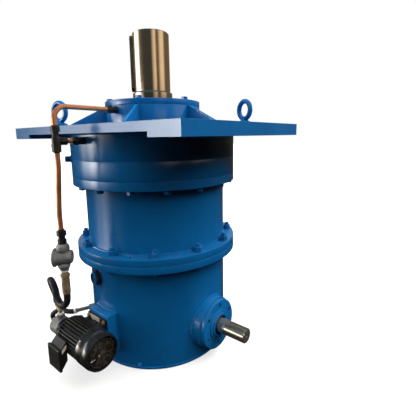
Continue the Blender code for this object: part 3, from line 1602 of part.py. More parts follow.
def pump_body():
    """The pump's casting: a round body whose chamber holds the two gears."""
    at = (PUMP_COVER_X + SEAT, MOTOR_Y, MOTOR_Z - PUMP_GEAR_PITCH / 2)
    length = PUMP_FACE_X - PUMP_COVER_X - SEAT
    body = cylinder("pump_body", PUMP_RADIUS, length, BEARING_STEPS, cast_iron(), at=at, turn=to_x())
    port = cylinder(
        "pump_port_boss",
        PUMP_PORT_RADIUS,
        PUMP_PORT_HEIGHT,
        SMALL_STEPS,
        at=(PUMP_PORT_X, MOTOR_Y, MOTOR_Z),
        helper=True,
    )
    join(body, port)
    room = around(PUMP_GEAR_PITCH + PUMP_GEAR_TOOTH * PUMP_TOOTH_TIP + RUNNING, BEARING_STEPS)
    low = PUMP_COVER_X - SUNK
    depth = PUMP_FACE_X - PUMP_COVER_X - PUMP_WALL
    for index, z in enumerate((MOTOR_Z, MOTOR_Z - 2 * PUMP_GEAR_PITCH)):
        chamber = cylinder(
            "pump_chamber_" + str(index),
            room,
            depth,
            BEARING_STEPS,
            at=(low, MOTOR_Y, z),
            turn=to_x(),
            helper=True,
        )
        cut(body, chamber)
    bore = cylinder(
        "pump_shaft_bore",
        around(PUMP_SHAFT_RADIUS + RUNNING, SMALL_STEPS),
        PUMP_BORE_DEPTH,
        at=(PUMP_FACE_X - PUMP_BORE_DEPTH + END_GAP, MOTOR_Y, MOTOR_Z),
        turn=to_x(),
        helper=True,
    )
    idler_pin = cylinder(
        "pump_idler_pin",
        PUMP_SHAFT_RADIUS,
        depth - PUMP_IDLER_GAP,
        at=(PUMP_COVER_X + PUMP_SHAFT_END, MOTOR_Y, MOTOR_Z - 2 * PUMP_GEAR_PITCH),
        turn=to_x(),
        helper=True,
    )
    join(cut(body, bore), idler_pin)


def pump_end_cover():
    high = PUMP_COVER_X - SEAT
    profile = [
        (0, high),
        (PUMP_RADIUS, high),
        (PUMP_RADIUS, high - PUMP_END_CHAMFER),
        (PUMP_RADIUS - PUMP_END_CHAMFER, PUMP_END_X),
        (0, PUMP_END_X),
    ]
    at = (0, MOTOR_Y, MOTOR_Z - PUMP_GEAR_PITCH / 2)
    turned("pump_end_cover", profile, BEARING_STEPS, cast_iron(), at=at, turn=to_x())


def nut(radius_share, low, high):
    """Profile rows of a union nut with its corners turned off."""
    radius = FITTING_RADIUS * radius_share
    edge = FITTING_CHAMFER
    return [(radius - edge, high), (radius, high - edge), (radius, low + edge), (radius - edge, low)]


def fitting(name, length, **where):
    """A compression fitting along local Z: a body at its foot, a waist and a nut."""
    waist = FITTING_RADIUS * FITTING_WAIST_SHARE
    profile = [
        (0, length),
        *nut(1.0, length * FITTING_NUT_START, length),
        (waist, length * FITTING_NUT_START),
        (waist, length * FITTING_BODY_END),
        *nut(FITTING_BODY_SHARE, 0.0, length * FITTING_BODY_END),
        (0, 0),
    ]
    return turned(name, profile, FITTING_STEPS, black_steel(), **where)


def boss_line():
    """The fitting in the boss, and the copper pipe that bends down from it to the tee."""
    face = -(BOSS_RADIUS + SEAT)
    fitting("boss_fitting", BOSS_FITTING_LENGTH, at=(LINE_X, face, BOSS_LINE_Z), turn=to_minus_y())
    turns = [math.pi / 2 * step / BEND_STEPS for step in range(BEND_STEPS + 1)]
    centre = (LINE_Y + PIPE_BEND, BOSS_LINE_Z - PIPE_BEND)
    corner = []
    for turn in turns:
        y = centre[0] - PIPE_BEND * math.sin(turn)
        corner.append((LINE_X, y, centre[1] + PIPE_BEND * math.cos(turn)))
    route = [
        (LINE_X, face - BOSS_FITTING_LENGTH - SEAT, BOSS_LINE_Z),
        *corner,
        (LINE_X, LINE_Y, TEE_Z + TEE_UP + SEAT),
    ]
    tube("boss_pipe", route, COPPER_RADIUS, copper())


def pipe_tee():
    """The tee: union nuts above, below and towards the drum."""
    at = (LINE_X, LINE_Y, TEE_Z)
    waist = FITTING_RADIUS * FITTING_WAIST_SHARE
    gap = FITTING_CHAMFER
    profile = [
        (0, TEE_UP),
        *nut(TEE_NUT_SHARE, TEE_UP_NUT, TEE_UP),
        (waist, TEE_UP_NUT - gap),
        (waist, gap - TEE_DOWN_NUT),
        *nut(TEE_NUT_SHARE, -TEE_DOWN, -TEE_DOWN_NUT),
        (0, -TEE_DOWN),
    ]
    tee = turned("pipe_tee", profile, FITTING_STEPS, black_steel(), at=at)
    arm_profile = [
        (0, TEE_SIDE),
        *nut(TEE_NUT_SHARE, TEE_SIDE_NUT, TEE_SIDE),
        (waist, TEE_SIDE_NUT - gap),
        (waist, 0),
        (0, 0),
    ]
    arm = turned("tee_arm", arm_profile, FITTING_STEPS, at=at, turn=(-math.pi / 2, 0, 0), helper=True)
    join(tee, arm)


def drum_line():
    """The fitting in the drum and its short pipe from the tee."""
    face = -(DRUM_RADIUS + SEAT)
    fitting("drum_fitting", DRUM_FITTING_LENGTH, at=(LINE_X, face, TEE_Z), turn=to_minus_y())
    route = [
        (LINE_X, LINE_Y + TEE_SIDE + SEAT, TEE_Z),
        (LINE_X, face - DRUM_FITTING_LENGTH - SEAT, TEE_Z),
    ]
    tube("drum_pipe", route, DRUM_PIPE_RADIUS, copper())


def riser_line():
    """The copper pipe down to the flow indicator, and the fitting on the indicator's head."""
    fitting_foot = INDICATOR_Z + INDICATOR_HALF + SEAT
    foot = fitting_foot + RISER_FITTING_LENGTH + SEAT
    fitting("riser_fitting", RISER_FITTING_LENGTH, at=(RISER_FOOT_X, INDICATOR_Y, fitting_foot))
    route = [
        (LINE_X, LINE_Y, TEE_Z - TEE_DOWN - SEAT),
        (LINE_X, LINE_Y, foot + RISER_HIGH_BEND),
        (RISER_FOOT_X, INDICATOR_Y, foot + RISER_LOW_BEND),
        (RISER_FOOT_X, INDICATOR_Y, foot),
    ]
    tube("riser_pipe", route, COPPER_RADIUS, copper())


def scaled(profile, length):
    """A profile that is given in shares of one length."""
    return [(radius * length, z * length) for radius, z in profile]


def flow_indicator():
    """The cast flow indicator: a vertical passage with a round window across it."""
    at = Vector((RISER_FOOT_X, INDICATOR_Y, INDICATOR_Z))
    passage = [
        (0, 1),
        (0.31, 1),
        (0.45, 0.81),
        (0.47, 0.56),
        (0.34, 0.31),
        (0.34, -0.31),
        (0.44, -0.62),
        (0.25, -1),
        (0, -1),
    ]
    body = turned("flow_indicator", scaled(passage, INDICATOR_HALF), SMALL_STEPS, cast_iron(), at=at)
    across = [
        (0, 0.95),
        (0.62, 0.95),
        (0.74, 0.81),
        (0.81, 0.24),
        (0.90, -0.81),
        (1.02, -1),
        (0, -1),
    ]
    turn = outward(INDICATOR_TURN)
    window_profile = scaled(across, WINDOW_LENGTH)
    join(body, turned("window_body", window_profile, BEARING_STEPS, at=at, turn=turn, helper=True))
    behind = INDICATOR_TURN + math.pi
    floor = WINDOW_LENGTH - WINDOW_DEPTH
    recess = cylinder(
        "window_recess",
        WINDOW_RADIUS,
        WINDOW_DEPTH + EDGE,
        BEARING_STEPS,
        at=at + on_circle(floor, behind),
        turn=outward(behind),
        helper=True,
    )
    cut(body, recess)
    cylinder(
        "indicator_glass",
        WINDOW_RADIUS - GLASS_GAP,
        GLASS_THICK,
        BEARING_STEPS,
        glass(),
        at=at + on_circle(floor + SEAT, behind),
        turn=outward(behind),
    )


def route_from(points, length, anchor):
    """Points that are given in shares of one length, from an anchor."""
    return [Vector(anchor) + Vector(point) * length for point in points]


def pressure_hose():
    """The ferrule under the flow indicator, and the hose that loops from it to the pump's outlet."""
    top = INDICATOR_Z - INDICATOR_HALF - SEAT
    foot = top - FERRULE_LENGTH
    nut_low, nut_high = FERRULE_LENGTH - 2 * FERRULE_NECK_RADIUS, FERRULE_LENGTH - FERRULE_NECK_RADIUS
    ferrule = [
        (0, FERRULE_LENGTH),
        (FERRULE_NECK_RADIUS, FERRULE_LENGTH),
        (FERRULE_NECK_RADIUS, nut_high + FITTING_CHAMFER),
        (FERRULE_NUT_RADIUS, nut_high),
        (FERRULE_NUT_RADIUS, nut_low),
        (FERRULE_RADIUS + SUNK, nut_low - EDGE),
        (FERRULE_RADIUS, 0),
        (0, 0),
    ]
    turned("hose_ferrule", ferrule, SMALL_STEPS, brass(), at=(RISER_FOOT_X, INDICATOR_Y, foot))
    from_ferrule = [
        (0, 0, 0),
        (0, 0, -0.20),
        (-0.06, 0, -0.46),
        (-0.30, 0, -0.72),
        (-0.70, 0, -0.82),
        (-1.02, 0, -0.58),
        (-1.14, 0, -0.18),
    ]
    to_pump = [
        (0.90, -0.53, 1.60),
        (0.35, -0.37, 1.47),
        (0.04, -0.15, 0.92),
        (0, -0.01, 0.42),
        (0, 0, 0.20),
        (0, 0, 0),
    ]
    outlet = (OUTLET_X, MOTOR_Y, MOTOR_Z + OUTLET_HEIGHT)
    points = route_from(from_ferrule, HOSE_LOOP, (RISER_FOOT_X, INDICATOR_Y, foot - SEAT))
    points += route_from(to_pump, HOSE_LOOP, outlet)
    tube("pressure_hose", smooth_route(points, 2 * HOSE_RADIUS), HOSE_RADIUS, black_rubber(), 2)
    port_top = MOTOR_Z + PUMP_PORT_HEIGHT
    pipe = [
        (PUMP_PORT_X, MOTOR_Y, port_top + SEAT),
        (PUMP_PORT_X, MOTOR_Y, port_top + PLUG_COLLAR * 2),
        (OUTLET_X, MOTOR_Y, outlet[2] - EYE_COLLAR_HEIGHT),
        (OUTLET_X, MOTOR_Y, outlet[2] - SEAT),
    ]
    tube("pump_outlet_pipe", smooth_route(pipe, PLUG_COLLAR * 2), OUTLET_RADIUS, brass(), 2)


def suction_line():
    """The pipe from the housing's lower port, the hose behind the pump and the elbow into its end."""
    start_points = [
        (1.15, 0.70, 0.435),
        (1.05, 0.60, 0.408),
        (0.82, 0.46, 0.40),
        (0.48, 0.35, 0.40),
        (0.18, 0.17, 0.33),
        (0.02, 0.02, 0.19),
        (0, 0, 0.10),
        (0, 0, 0),
    ]
    elbow_top = (INLET_X, MOTOR_Y, MOTOR_Z + INLET_TOP)
    hose = route_from(start_points, HOSE_LOOP, elbow_top)
    tube("suction_hose", smooth_route(hose, 2 * SUCTION_HOSE_RADIUS), SUCTION_HOSE_RADIUS, black_rubber(), 2)
    suction_pipe(hose[0])
    inlet_z = MOTOR_Z - INLET_DROP
    drop = elbow_top[2] - inlet_z
    elbow = [
        (INLET_X, MOTOR_Y, elbow_top[2] - SEAT),
        (INLET_X, MOTOR_Y, elbow_top[2] - drop * 0.45),
        (INLET_X + drop * 0.27, MOTOR_Y, elbow_top[2] - drop * 0.82),
        (INLET_X + drop * 0.73, MOTOR_Y, inlet_z),
        (PUMP_END_X - SEAT, MOTOR_Y, inlet_z),
    ]
    tube("inlet_elbow", elbow, INLET_RADIUS, brass(), 2)


def suction_pipe(hose_start):
    """The steel pipe and union from the housing's port to the suction hose."""
    port = on_circle(COLUMN_RADIUS, SUCTION_PORT_ANGLE, SUCTION_PORT_Z)
    inward = (port - hose_start).normalized()
    tilt = inward.angle(-on_circle(1, SUCTION_PORT_ANGLE))
    length = (port - hose_start).length - SUCTION_NUT_RADIUS * math.tan(tilt) - SEAT
    nut_low = length - SUCTION_NUT_LENGTH
    profile = [
        (0, length),
        (SUCTION_NUT_RADIUS, length),
        (SUCTION_NUT_RADIUS, nut_low),
        (SUCTION_PIPE_RADIUS, nut_low - FITTING_CHAMFER),
        (SUCTION_PIPE_RADIUS, SUCTION_COLLAR_LENGTH),
        (SUCTION_COLLAR_RADIUS, SUCTION_COLLAR_LENGTH - SUNK),
        (SUCTION_COLLAR_RADIUS, SEAT),
        (0, SEAT),
    ]
    pipe = turned("suction_pipe", profile, FITTING_STEPS, bright_steel())
    pipe.matrix_world = Matrix.Translation(hose_start) @ inward.to_track_quat("Z", "Y").to_matrix().to_4x4()


def wall_seat(wall_radius, angle, reach):
    """How far out a flat seat of a given reach lies on a faceted wall, at an angle about Z."""
    facet = 2 * math.pi / BIG_STEPS
    tilt = abs(angle % facet - facet / 2)
    return wall_radius * math.cos(facet / 2) / math.cos(tilt) + reach * math.tan(tilt) + SEAT


def plug(name, radius, angle, z, proud, flats, wall_radius):
    """A hexagon plug with its collar, screwed radially into a wall."""
    profile = [(0, PLUG_COLLAR), (radius, PLUG_COLLAR), (radius, 0), (0, 0)]
    seat = wall_seat(wall_radius, angle, radius)
    turn = outward(angle)
    made = turned(name, profile, FITTING_STEPS, blue_paint(), at=on_circle(seat, angle, z), turn=turn)
    head = cylinder(
        name + "_head",
        flats / math.sqrt(3),
        proud - PLUG_COLLAR + SUNK,
        6,
        at=on_circle(seat + PLUG_COLLAR - SUNK, angle, z),
        turn=turn,
        helper=True,
    )
    join(made, head)


def plugs():
    plug(
        "drum_plug",
        DRUM_PLUG_RADIUS,
        DRUM_PLUG_ANGLE,
        RING_TOP_Z + DRUM_PLUG_ABOVE_RING,
        DRUM_PLUG_PROUD,
        DRUM_PLUG_FLATS,
        DRUM_RADIUS,
    )
    plug(
        "drain_plug",
        DRAIN_PLUG_RADIUS,
        DRAIN_ANGLE,
        DRAIN_Z,
        DRAIN_PLUG_PROUD,
        DRAIN_PLUG_FLATS,
        COLUMN_RADIUS,
    )
    bore = LEVEL_BOSS_RADIUS * LEVEL_BORE_SHARE
    seat_radius = COLUMN_RADIUS + LEVEL_BOSS_PROUD * LEVEL_FLOOR_SHARE + SEAT
    cylinder(
        "level_plug",
        inside_of(bore, SMALL_STEPS) - SEAT,
        LEVEL_BOSS_PROUD * LEVEL_PLUG_SHARE,
        SMALL_STEPS,
        black_steel(),
        at=on_circle(seat_radius, LEVEL_ANGLE, LEVEL_Z),
        turn=outward(LEVEL_ANGLE),
    )


def main():
    ready_scene()
    base_cover()
    lower_housing()
    middle_housing()
    pin_ring()
    cycloid_discs()
    eccentric_bearings()
    eccentric_shaft()
    vertical_shaft_bearings()
    output_shaft()
    output_key()
    output_bearings()
    upper_housing()
    shaft_lid()
    output_seal()
    bevel_gears()
    input_shaft()
    input_bearings()
    input_cover()
    input_seal()
    eye_bolts()
    motor_frame()
    motor_end_shield()
    motor_stator()
    motor_rotor()
    motor_fan()
    motor_fan_cover()
    terminal_box()
    terminal_lid()
    pump_adapter()
    pump_gears()
    pump_body()
    pump_end_cover()
    boss_line()
    pipe_tee()
    drum_line()
    riser_line()
    flow_indicator()
    pressure_hose()
    suction_line()
    plugs()


main()
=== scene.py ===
"""Looks of the vertical cycloidal reducer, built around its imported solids.

Metres, +Z up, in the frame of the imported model: +X is the input shaft's side, and -Y the side of
the pump motor and the oil lines.
"""

import json
import math

import bmesh
import bpy
from bpy.props import FloatProperty, FloatVectorProperty, IntProperty, PointerProperty
from bpy.types import Operator, Panel, PropertyGroup
from mathutils import Matrix, Vector


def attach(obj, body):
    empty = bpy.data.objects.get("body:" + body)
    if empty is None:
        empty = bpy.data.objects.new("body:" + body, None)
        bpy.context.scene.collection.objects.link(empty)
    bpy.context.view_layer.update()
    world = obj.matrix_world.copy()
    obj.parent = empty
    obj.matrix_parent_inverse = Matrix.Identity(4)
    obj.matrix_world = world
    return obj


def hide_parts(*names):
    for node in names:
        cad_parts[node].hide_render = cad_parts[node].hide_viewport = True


bl_info = {
    "name": "Cycloidal reducer",
    "version": (1, 0, 0),
    "blender": (4, 5, 0),
    "location": "3D View > Sidebar > Reducer",
    "description": "Builds the looks of a vertical cycloidal reducer round its packed solids",
    "category": "Add Mesh",
}

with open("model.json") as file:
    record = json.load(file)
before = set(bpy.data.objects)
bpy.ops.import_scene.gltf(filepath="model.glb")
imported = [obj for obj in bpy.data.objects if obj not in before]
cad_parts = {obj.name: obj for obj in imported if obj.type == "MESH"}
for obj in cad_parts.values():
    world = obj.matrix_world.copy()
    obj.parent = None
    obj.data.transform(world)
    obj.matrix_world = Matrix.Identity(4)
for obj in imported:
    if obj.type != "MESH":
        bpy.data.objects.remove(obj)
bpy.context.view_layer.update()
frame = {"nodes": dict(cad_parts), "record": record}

# Heights of the housing's seams and faces
COVER_TOP = 0.012
LOWER_FLANGE_FOOT = 0.538
FLANGE_SEAM = 0.575
UPPER_FLANGE_TOP = 0.611
DRUM_FOOT = 0.931
RING_FOOT = 0.975
RING_TOP = 1.065
PLATE_FOOT = 1.192
RAIL_DROP = 0.021
BOSS_TOP = 1.332
LID_TOP = 1.360
COLLAR_TOP = 1.410
SHAFT_TOP = 1.723

# Insides of the housing
COLUMN_BORE = 0.365
RING_BORE = 0.358
WEB_BORE = 0.075
BEARING_BORE = 0.180
THROAT = 0.1675
SEAT = 0.0003
GROOVE = 0.0014

# Steps round the large turned forms, and the distance between a weld bead's points
ROUND_STEPS = 160
DRUM_STEPS = 168
BOSS_STEPS = 128
BEAD_STEP = 0.0035

# Where the seam above the ring is filled with paint, in degrees round the drum
SEAM_FILLED = ((-74.5, -70.0), (-68.5, 16.0), (17.5, 120.0), (123.0, 268.5))

# Gussets and rails
GUSSET_THICK = 0.014
GUSSET_FOOT = 0.437
RAIL_WIDTH = 0.167

# Right-angle input
INPUT_Z = 0.177
INPUT_BOSS = 0.138
INPUT_BOSS_FACE = 0.420
COVER_FACE = 0.446
INPUT_BOSS_FOOT = 0.220
SCREW_CIRCLE = 0.104
SCREW_FIRST = math.radians(26)
INPUT_END = 0.618
INPUT_COLLAR_END = 0.497
PINION_SEAT_START = 0.187
SOCKET_HEAD = [
    (0, 0.436),
    (0.0042, 0.436),
    (0.0042, 0.4405),
    (0.0078, 0.4405),
    (0.0084, 0.4398),
    (0.0084, 0.4341),
    (0, 0.4341),
]

# Level port on the lower column
LEVEL_ANGLE = math.radians(-98.75)
LEVEL_Z = 0.448
LEVEL_BOSS = 0.034
LEVEL_FOOT = 0.372
LEVEL_SEAT = 0.3985

# Circles that bolts and pins stand on, the angle of the first of each, and the pins' radii
FLANGE_CIRCLE = 0.418
FLANGE_FIRST = math.radians(14.5)
DRUM_CIRCLE = 0.4225
DRUM_FIRST = math.radians(-103.9)
LID_CIRCLE = 0.235
RING_PIN_CIRCLE = 0.350
OUTPUT_PIN_CIRCLE = 0.215
RING_PIN = 0.024
OUTPUT_PIN = 0.028
OUTPUT_PIN_FOOT = 0.982
JACK_ANGLE = math.radians(-62)

# Steps in the bores of housing, base cover and lid
BEARING_SHOULDER = 1.2757
RING_SHOULDER = 1.119
DRUM_THROAT = 0.190
FOOT_SEAT = 0.100
FOOT_SEAT_TOP = 0.052
LID_BORE = 0.113
SEAL_SEAT = 0.130

# Steps of the output shaft inside the housing, from the top down
UPPER_SEAT = 0.115
UPPER_SEAT_FOOT = 1.2754
SHOULDER = 0.125
SHOULDER_FOOT = 1.1467
LOWER_SEAT = 0.150
PIN_FLANGE = 0.290
PIN_FLANGE_TOP = 1.112
PIN_FLANGE_FOOT = 1.072
PILOT_BORE = 0.062
PILOT_ROOF = 1.106

# Lifting eyes: the ring's height above its seat, its radius and the radius of its bar
EYE_MIDDLE = 0.0842
EYE_RADIUS = 0.049
EYE_WIRE = 0.0135

# Output key
KEY_ANGLE = math.radians(-140)
KEY_MIDDLE = 1.568
KEY_HALF_LENGTH = 0.148
# Heights over which the key's lower end is painted near black, as painted shade
KEY_SHADED_END = (1.436, 1.441)

# Motor bracket, motor and pump
BRACKET_LOW = Vector((-0.085, -0.435, 0.0835))
BRACKET_HIGH = Vector((0.081, -0.330, 0.2925))
MOTOR_Y = -0.525
MOTOR_Z = 0.188
SHIELD_X = -0.104
DRIVE_X = -0.122
FRAME_END_X = 0.072
MOTOR_END_X = 0.163
PUMP_FACE_X = -0.180
PUMP_COVER_X = -0.238
PUMP_END_X = -0.262
PUMP_AXIS_Z = 0.180
GRILLE_RADIUS = 0.0735
HUB_RADIUS = 0.014
TERMINAL_FACE_Y = -0.655
PORT_X = -0.214
PORT_HEIGHT = 0.062

# Oil lines
LINE_X = 0.010
LINE_Y = -0.580
BOSS_LINE_Z = 1.308
TEE_Z = 1.160
TEE_UP = 0.068
TEE_DOWN = 0.050
TEE_SIDE = 0.050
INDICATOR = Vector((-0.010, -0.583, 0.635))
INDICATOR_TURN = math.radians(48.5)
INDICATOR_HALF = 0.0643
RISER_FOOT = 0.767
HOSE_FOOT_X = -0.250
HOSE_FOOT_Z = 0.308
INLET_X = -0.310
INLET_Z = 0.174
SUCTION_FOOT_Z = 0.196
FERRULE_LENGTH = 0.112
BOSS_UNION_LENGTH = 0.056
DRUM_UNION_LENGTH = 0.058
SUCTION_PORT_ANGLE = math.radians(-107)
SUCTION_PORT_Z = 0.262

# Turns about local X
QUARTER_TURN = Matrix.Rotation(math.pi / 2, 4, "X")
TURNED_OVER = Matrix.Rotation(math.pi, 4, "X")

# Camera, solved from the plate's edges and the housing's circles
CAMERA_AT = (1.3441, -1.2507, 1.1724)
CAMERA_RIGHT = (0.78278, 0.62212, -0.01485)
CAMERA_DOWN = (0.08972, -0.13643, -0.98658)
CAMERA_FORWARD = (-0.61580, 0.77094, -0.16261)
CAMERA_LENS = 27.08
CAMERA_SHIFT = (0.01373, -0.04871)

# Light from above by elevation and azimuth, and the panel on the left, all in degrees
SKY_LEVELS = ((14, 0.0), (24, 0.14), (36, 0.9), (50, 1.15), (89, 1.0))
SKY_AZIMUTHS = (
    (-180, 1.4), (-120, 1.1), (-80, 0.6), (-35, 0.75), (0, 2.3), (45, 3.5), (110, 2.6), (179, 1.4)
)
PANEL_AZIMUTHS = (
    (-180, 0.1), (-168, 0.4), (-150, 1.0), (-122, 1.0), (-108, 0.2), (-98, 0.0), (120, 0.0), (179, 0.1)
)
PANEL_HEIGHTS = ((-14, 0.0), (-4, 1.0), (12, 1.0), (24, 0.0))
SKY_TINT = (1.0, 0.97, 0.94)
PANEL_TINT = (1.0, 1.02, 0.98)

# Heights on the bowl that carries the screens, in metres, over which one part fades into the next
FLOOR_HEIGHTS = (-8.6, -0.8)
SHAFT_HEIGHTS = (4.6, 5.6)
ROOF_HEIGHTS = (12.0, 15.0)

# The lower screens are turned a little with height, as a share of a round, and grow brighter
SLANT_HEIGHTS = (-1.6, 3.0)
SLANT = -2 / 360
LIFT_HEIGHTS = (0.0, 2.2)
LIFT = 1.6

# Screens that only reflections see: first and last azimuth in degrees, and shade, each fading into the next
SCREEN_SCALE = 10.0
BLACK_CLOTH = (0.002, 0.002, 0.002)
ROOF_CLOTH = (0.005, 0.017, 0.024)
DARK_CLOTH = (0.0075, 0.0074, 0.0066)
BROWN_CLOTH = (0.024, 0.016, 0.0095)
GREY_CLOTH = (0.045, 0.043, 0.040)
CREAM_STRIP = (0.140, 0.112, 0.077)
DIM_PANEL = (0.100, 0.098, 0.094)
GREY_PANEL = (0.365, 0.355, 0.350)
SOFT_PANEL = (0.430, 0.425, 0.405)
WHITE_PANEL = (1.120, 1.095, 1.030)
ROUND_SHAFT = (
    (-180, -168, BROWN_CLOTH),
    (-156, -131, GREY_PANEL),
    (-119, -113, BROWN_CLOTH),
    (-97, -42, DARK_CLOTH),
    (-25, -17, CREAM_STRIP),
    (-11, 1, BROWN_CLOTH),
    (15, 36, CREAM_STRIP),
    (47, 105, BROWN_CLOTH),
    (125, 160, GREY_CLOTH),
    (178, 179, BROWN_CLOTH),
)
ROUND_HOUSING = (
    (-180, -159, BLACK_CLOTH),
    (-146, -140, SOFT_PANEL),
    (-135, -129, WHITE_PANEL),
    (-124, -120, GREY_PANEL),
    (-110, -108, DIM_PANEL),
    (-95, 20, BLACK_CLOTH),
    (42, 90, DARK_CLOTH),
    (150, 179, BLACK_CLOTH),
)


def length(name, description, default):
    return FloatProperty(name=name, description=description, default=default, min=0.0, unit="LENGTH")


def colour(name, description, default):
    return FloatVectorProperty(
        name=name, description=description, default=default, size=3, subtype="COLOR", min=0.0, max=1.0
    )


class ReducerHousing(PropertyGroup):
    """Sizes of the welded housing."""

    column: length("Column radius", "Outer radius of the two columns", 0.390)
    drum: length("Drum radius", "Outer radius of the drum and of the flange pair", 0.450)
    boss: length("Boss radius", "Outer radius of the boss that carries the output shaft", 0.260)
    plate_half_x: length("Plate half length", "Half of the mounting plate's long side", 0.646)
    plate_half_y: length("Plate half width", "Half of the mounting plate's short side", 0.4815)
    plate_thick: length("Plate thickness", "Thickness of the mounting plate", 0.040)
    rounding: length("Edge rounding", "How far machined edges are broken", 0.0028)
    weld: length("Weld radius", "Radius of a weld bead", 0.0055)


class ReducerShafts(PropertyGroup):
    """Sizes of the output and input shafts."""

    output: length("Output radius", "Radius of the output shaft", 0.099)
    collar: length("Collar radius", "Radius of the collar above the lid", 0.109)
    input: length("Input radius", "Radius of the input shaft", 0.0375)
    input_collar: length("Input collar radius", "Radius of the input shaft's collar", 0.0395)


class ReducerFasteners(PropertyGroup):
    """Sizes of the bolts that hold the housing together."""

    flange_flats: length("Flange nut", "Across flats of the flange nuts", 0.036)
    lid_flats: length("Lid bolt", "Across flats of the lid bolts", 0.030)
    drum_flats: length("Drum bolt", "Across flats of the bolts below the drum", 0.030)
    drum_count: IntProperty(
        name="Drum bolts", description="Number of bolts below the drum", default=16, min=3
    )


class ReducerMotor(PropertyGroup):
    """Sizes of the oil pump's motor."""

    fins: IntProperty(name="Fins", description="Number of cooling fins round the frame", default=36, min=8)
    root: length("Frame radius", "Radius at the foot of the fins", 0.072)
    tip: length("Fin radius", "Radius at the tip of the fins", 0.085)
    cover: length("Fan cover radius", "Outer radius of the fan cover", 0.088)
    grille_rings: IntProperty(
        name="Grille rings", description="Number of rings in the grille", default=7, min=2
    )


class ReducerLines(PropertyGroup):
    """Sizes of the oil lines."""

    copper: length("Copper pipe radius", "Radius of the copper pipes", 0.011)
    fitting: length("Fitting radius", "Radius over the corners of a fitting's nut", 0.021)
    hose: length("Pressure hose radius", "Radius of the hose from the flow indicator to the pump", 0.0155)
    suction: length("Suction hose radius", "Radius of the hose from the housing to the pump", 0.0130)


class ReducerFinishes(PropertyGroup):
    """Colours of the finishes."""

    paint: colour("Paint", "Gloss paint on the housing", (0.0030, 0.118, 0.335))
    paint_deep: colour("Deep paint", "Paint where it lies thick", (0.0022, 0.098, 0.290))
    steel: colour("Machined steel", "Oiled and turned shafts", (0.56, 0.49, 0.40))
    copper: colour("Copper", "Copper pipe", (0.66, 0.25, 0.105))
    black: colour("Motor black", "Paint on the motor", (0.0075, 0.0075, 0.0075))
    cast: colour("Cast grey", "Grey castings", (0.20, 0.20, 0.19))
    brass: colour("Brass", "Dull brass fittings", (0.42, 0.31, 0.16))


class ReducerStage(PropertyGroup):
    """The studio round the reducer."""

    floor: colour("Floor", "Pale floor", (0.86, 0.87, 0.88))
    sky: FloatProperty(name="Sky", description="Strength of the soft light from above", default=2.2, min=0.0)
    side: FloatProperty(
        name="Side light", description="Strength of the large soft light on the left", default=5.0, min=0.0
    )
    screens: FloatProperty(
        name="Screens", description="Strength of what glossy surfaces reflect", default=1.0, min=0.0
    )


def spread(count, first=0.0):
    """The angles of a pattern of equal steps."""
    return [first + 2 * math.pi * index / count for index in range(count)]


def polar(radius, angle, z=0.0):
    return Vector((radius * math.cos(angle), radius * math.sin(angle), z))


def upright(x=0.0, y=0.0, z=0.0, turn=0.0):
    return Matrix.Translation((x, y, z)) @ Matrix.Rotation(turn, 4, "Z")


def along_x(x=0.0, y=0.0, z=0.0):
    """The place whose local +Z runs along world +X."""
    return Matrix.Translation((x, y, z)) @ Matrix.Rotation(math.pi / 2, 4, "Y")


def along_minus_y(x=0.0, y=0.0, z=0.0):
    return Matrix.Translation((x, y, z)) @ QUARTER_TURN


def hanging(x=0.0, y=0.0, z=0.0, turn=0.0):
    """The place whose local +Z runs down."""
    return upright(x, y, z, turn) @ TURNED_OVER


def radial(radius, angle, z):
    """The place on a wall whose local +Z runs straight out at an angle about Z."""
    where = Matrix.Rotation(angle + math.pi / 2, 4, "Z") @ QUARTER_TURN
    return Matrix.Translation(polar(radius, angle, z)) @ where


def around(where, angle, x, z=0.0):
    """The place off another one's axis, turned about that axis."""
    return where @ Matrix.Rotation(angle, 4, "Z") @ Matrix.Translation((x, 0, z))


def disc(radius, low, high):
    """The outline of a plain disc or bar, for a lathe."""
    return [(0, high), (radius, high), (radius, low), (0, low)]


def rounded(profile, radius, segments=3):
    """The same outline with each corner turned into a small curve."""
    closed = profile[0][0] > 0
    points = [Vector(point) for point in profile]
    made = []
    for index, corner in enumerate(points):
        to_last = points[index - 1] - corner
        to_next = points[(index + 1) % len(points)] - corner
        at_end = not closed and index in (0, len(points) - 1)
        if at_end or to_last.angle(to_next) > math.radians(165):
            made.append(corner)
            continue
        reach = min(radius, 0.45 * to_last.length, 0.45 * to_next.length)
        start = corner + reach * to_last.normalized()
        end = corner + reach * to_next.normalized()
        for step in range(segments + 1):
            share = step / segments
            bend = start * (1 - share) ** 2 + corner * 2 * share * (1 - share) + end * share**2
            made.append(bend)
    return [tuple(point) for point in made]


def smooth_route(points, spacing):
    """Points about one spacing apart on a smooth curve through the given ones."""
    points = [Vector(point) for point in points]
    ends = [2 * points[0] - points[1], *points, 2 * points[-1] - points[-2]]
    route = [points[0]]
    for before, a, b, after in zip(ends, ends[1:], ends[2:], ends[3:]):
        parts = max(1, round((b - a).length / spacing))
        for step in range(1, parts + 1):
            t = step / parts
            bend = (2 * before - 5 * a + 4 * b - after) * t * t + (3 * a - before - 3 * b + after) * t**3
            route.append(a + ((b - before) * t + bend) / 2)
    return route


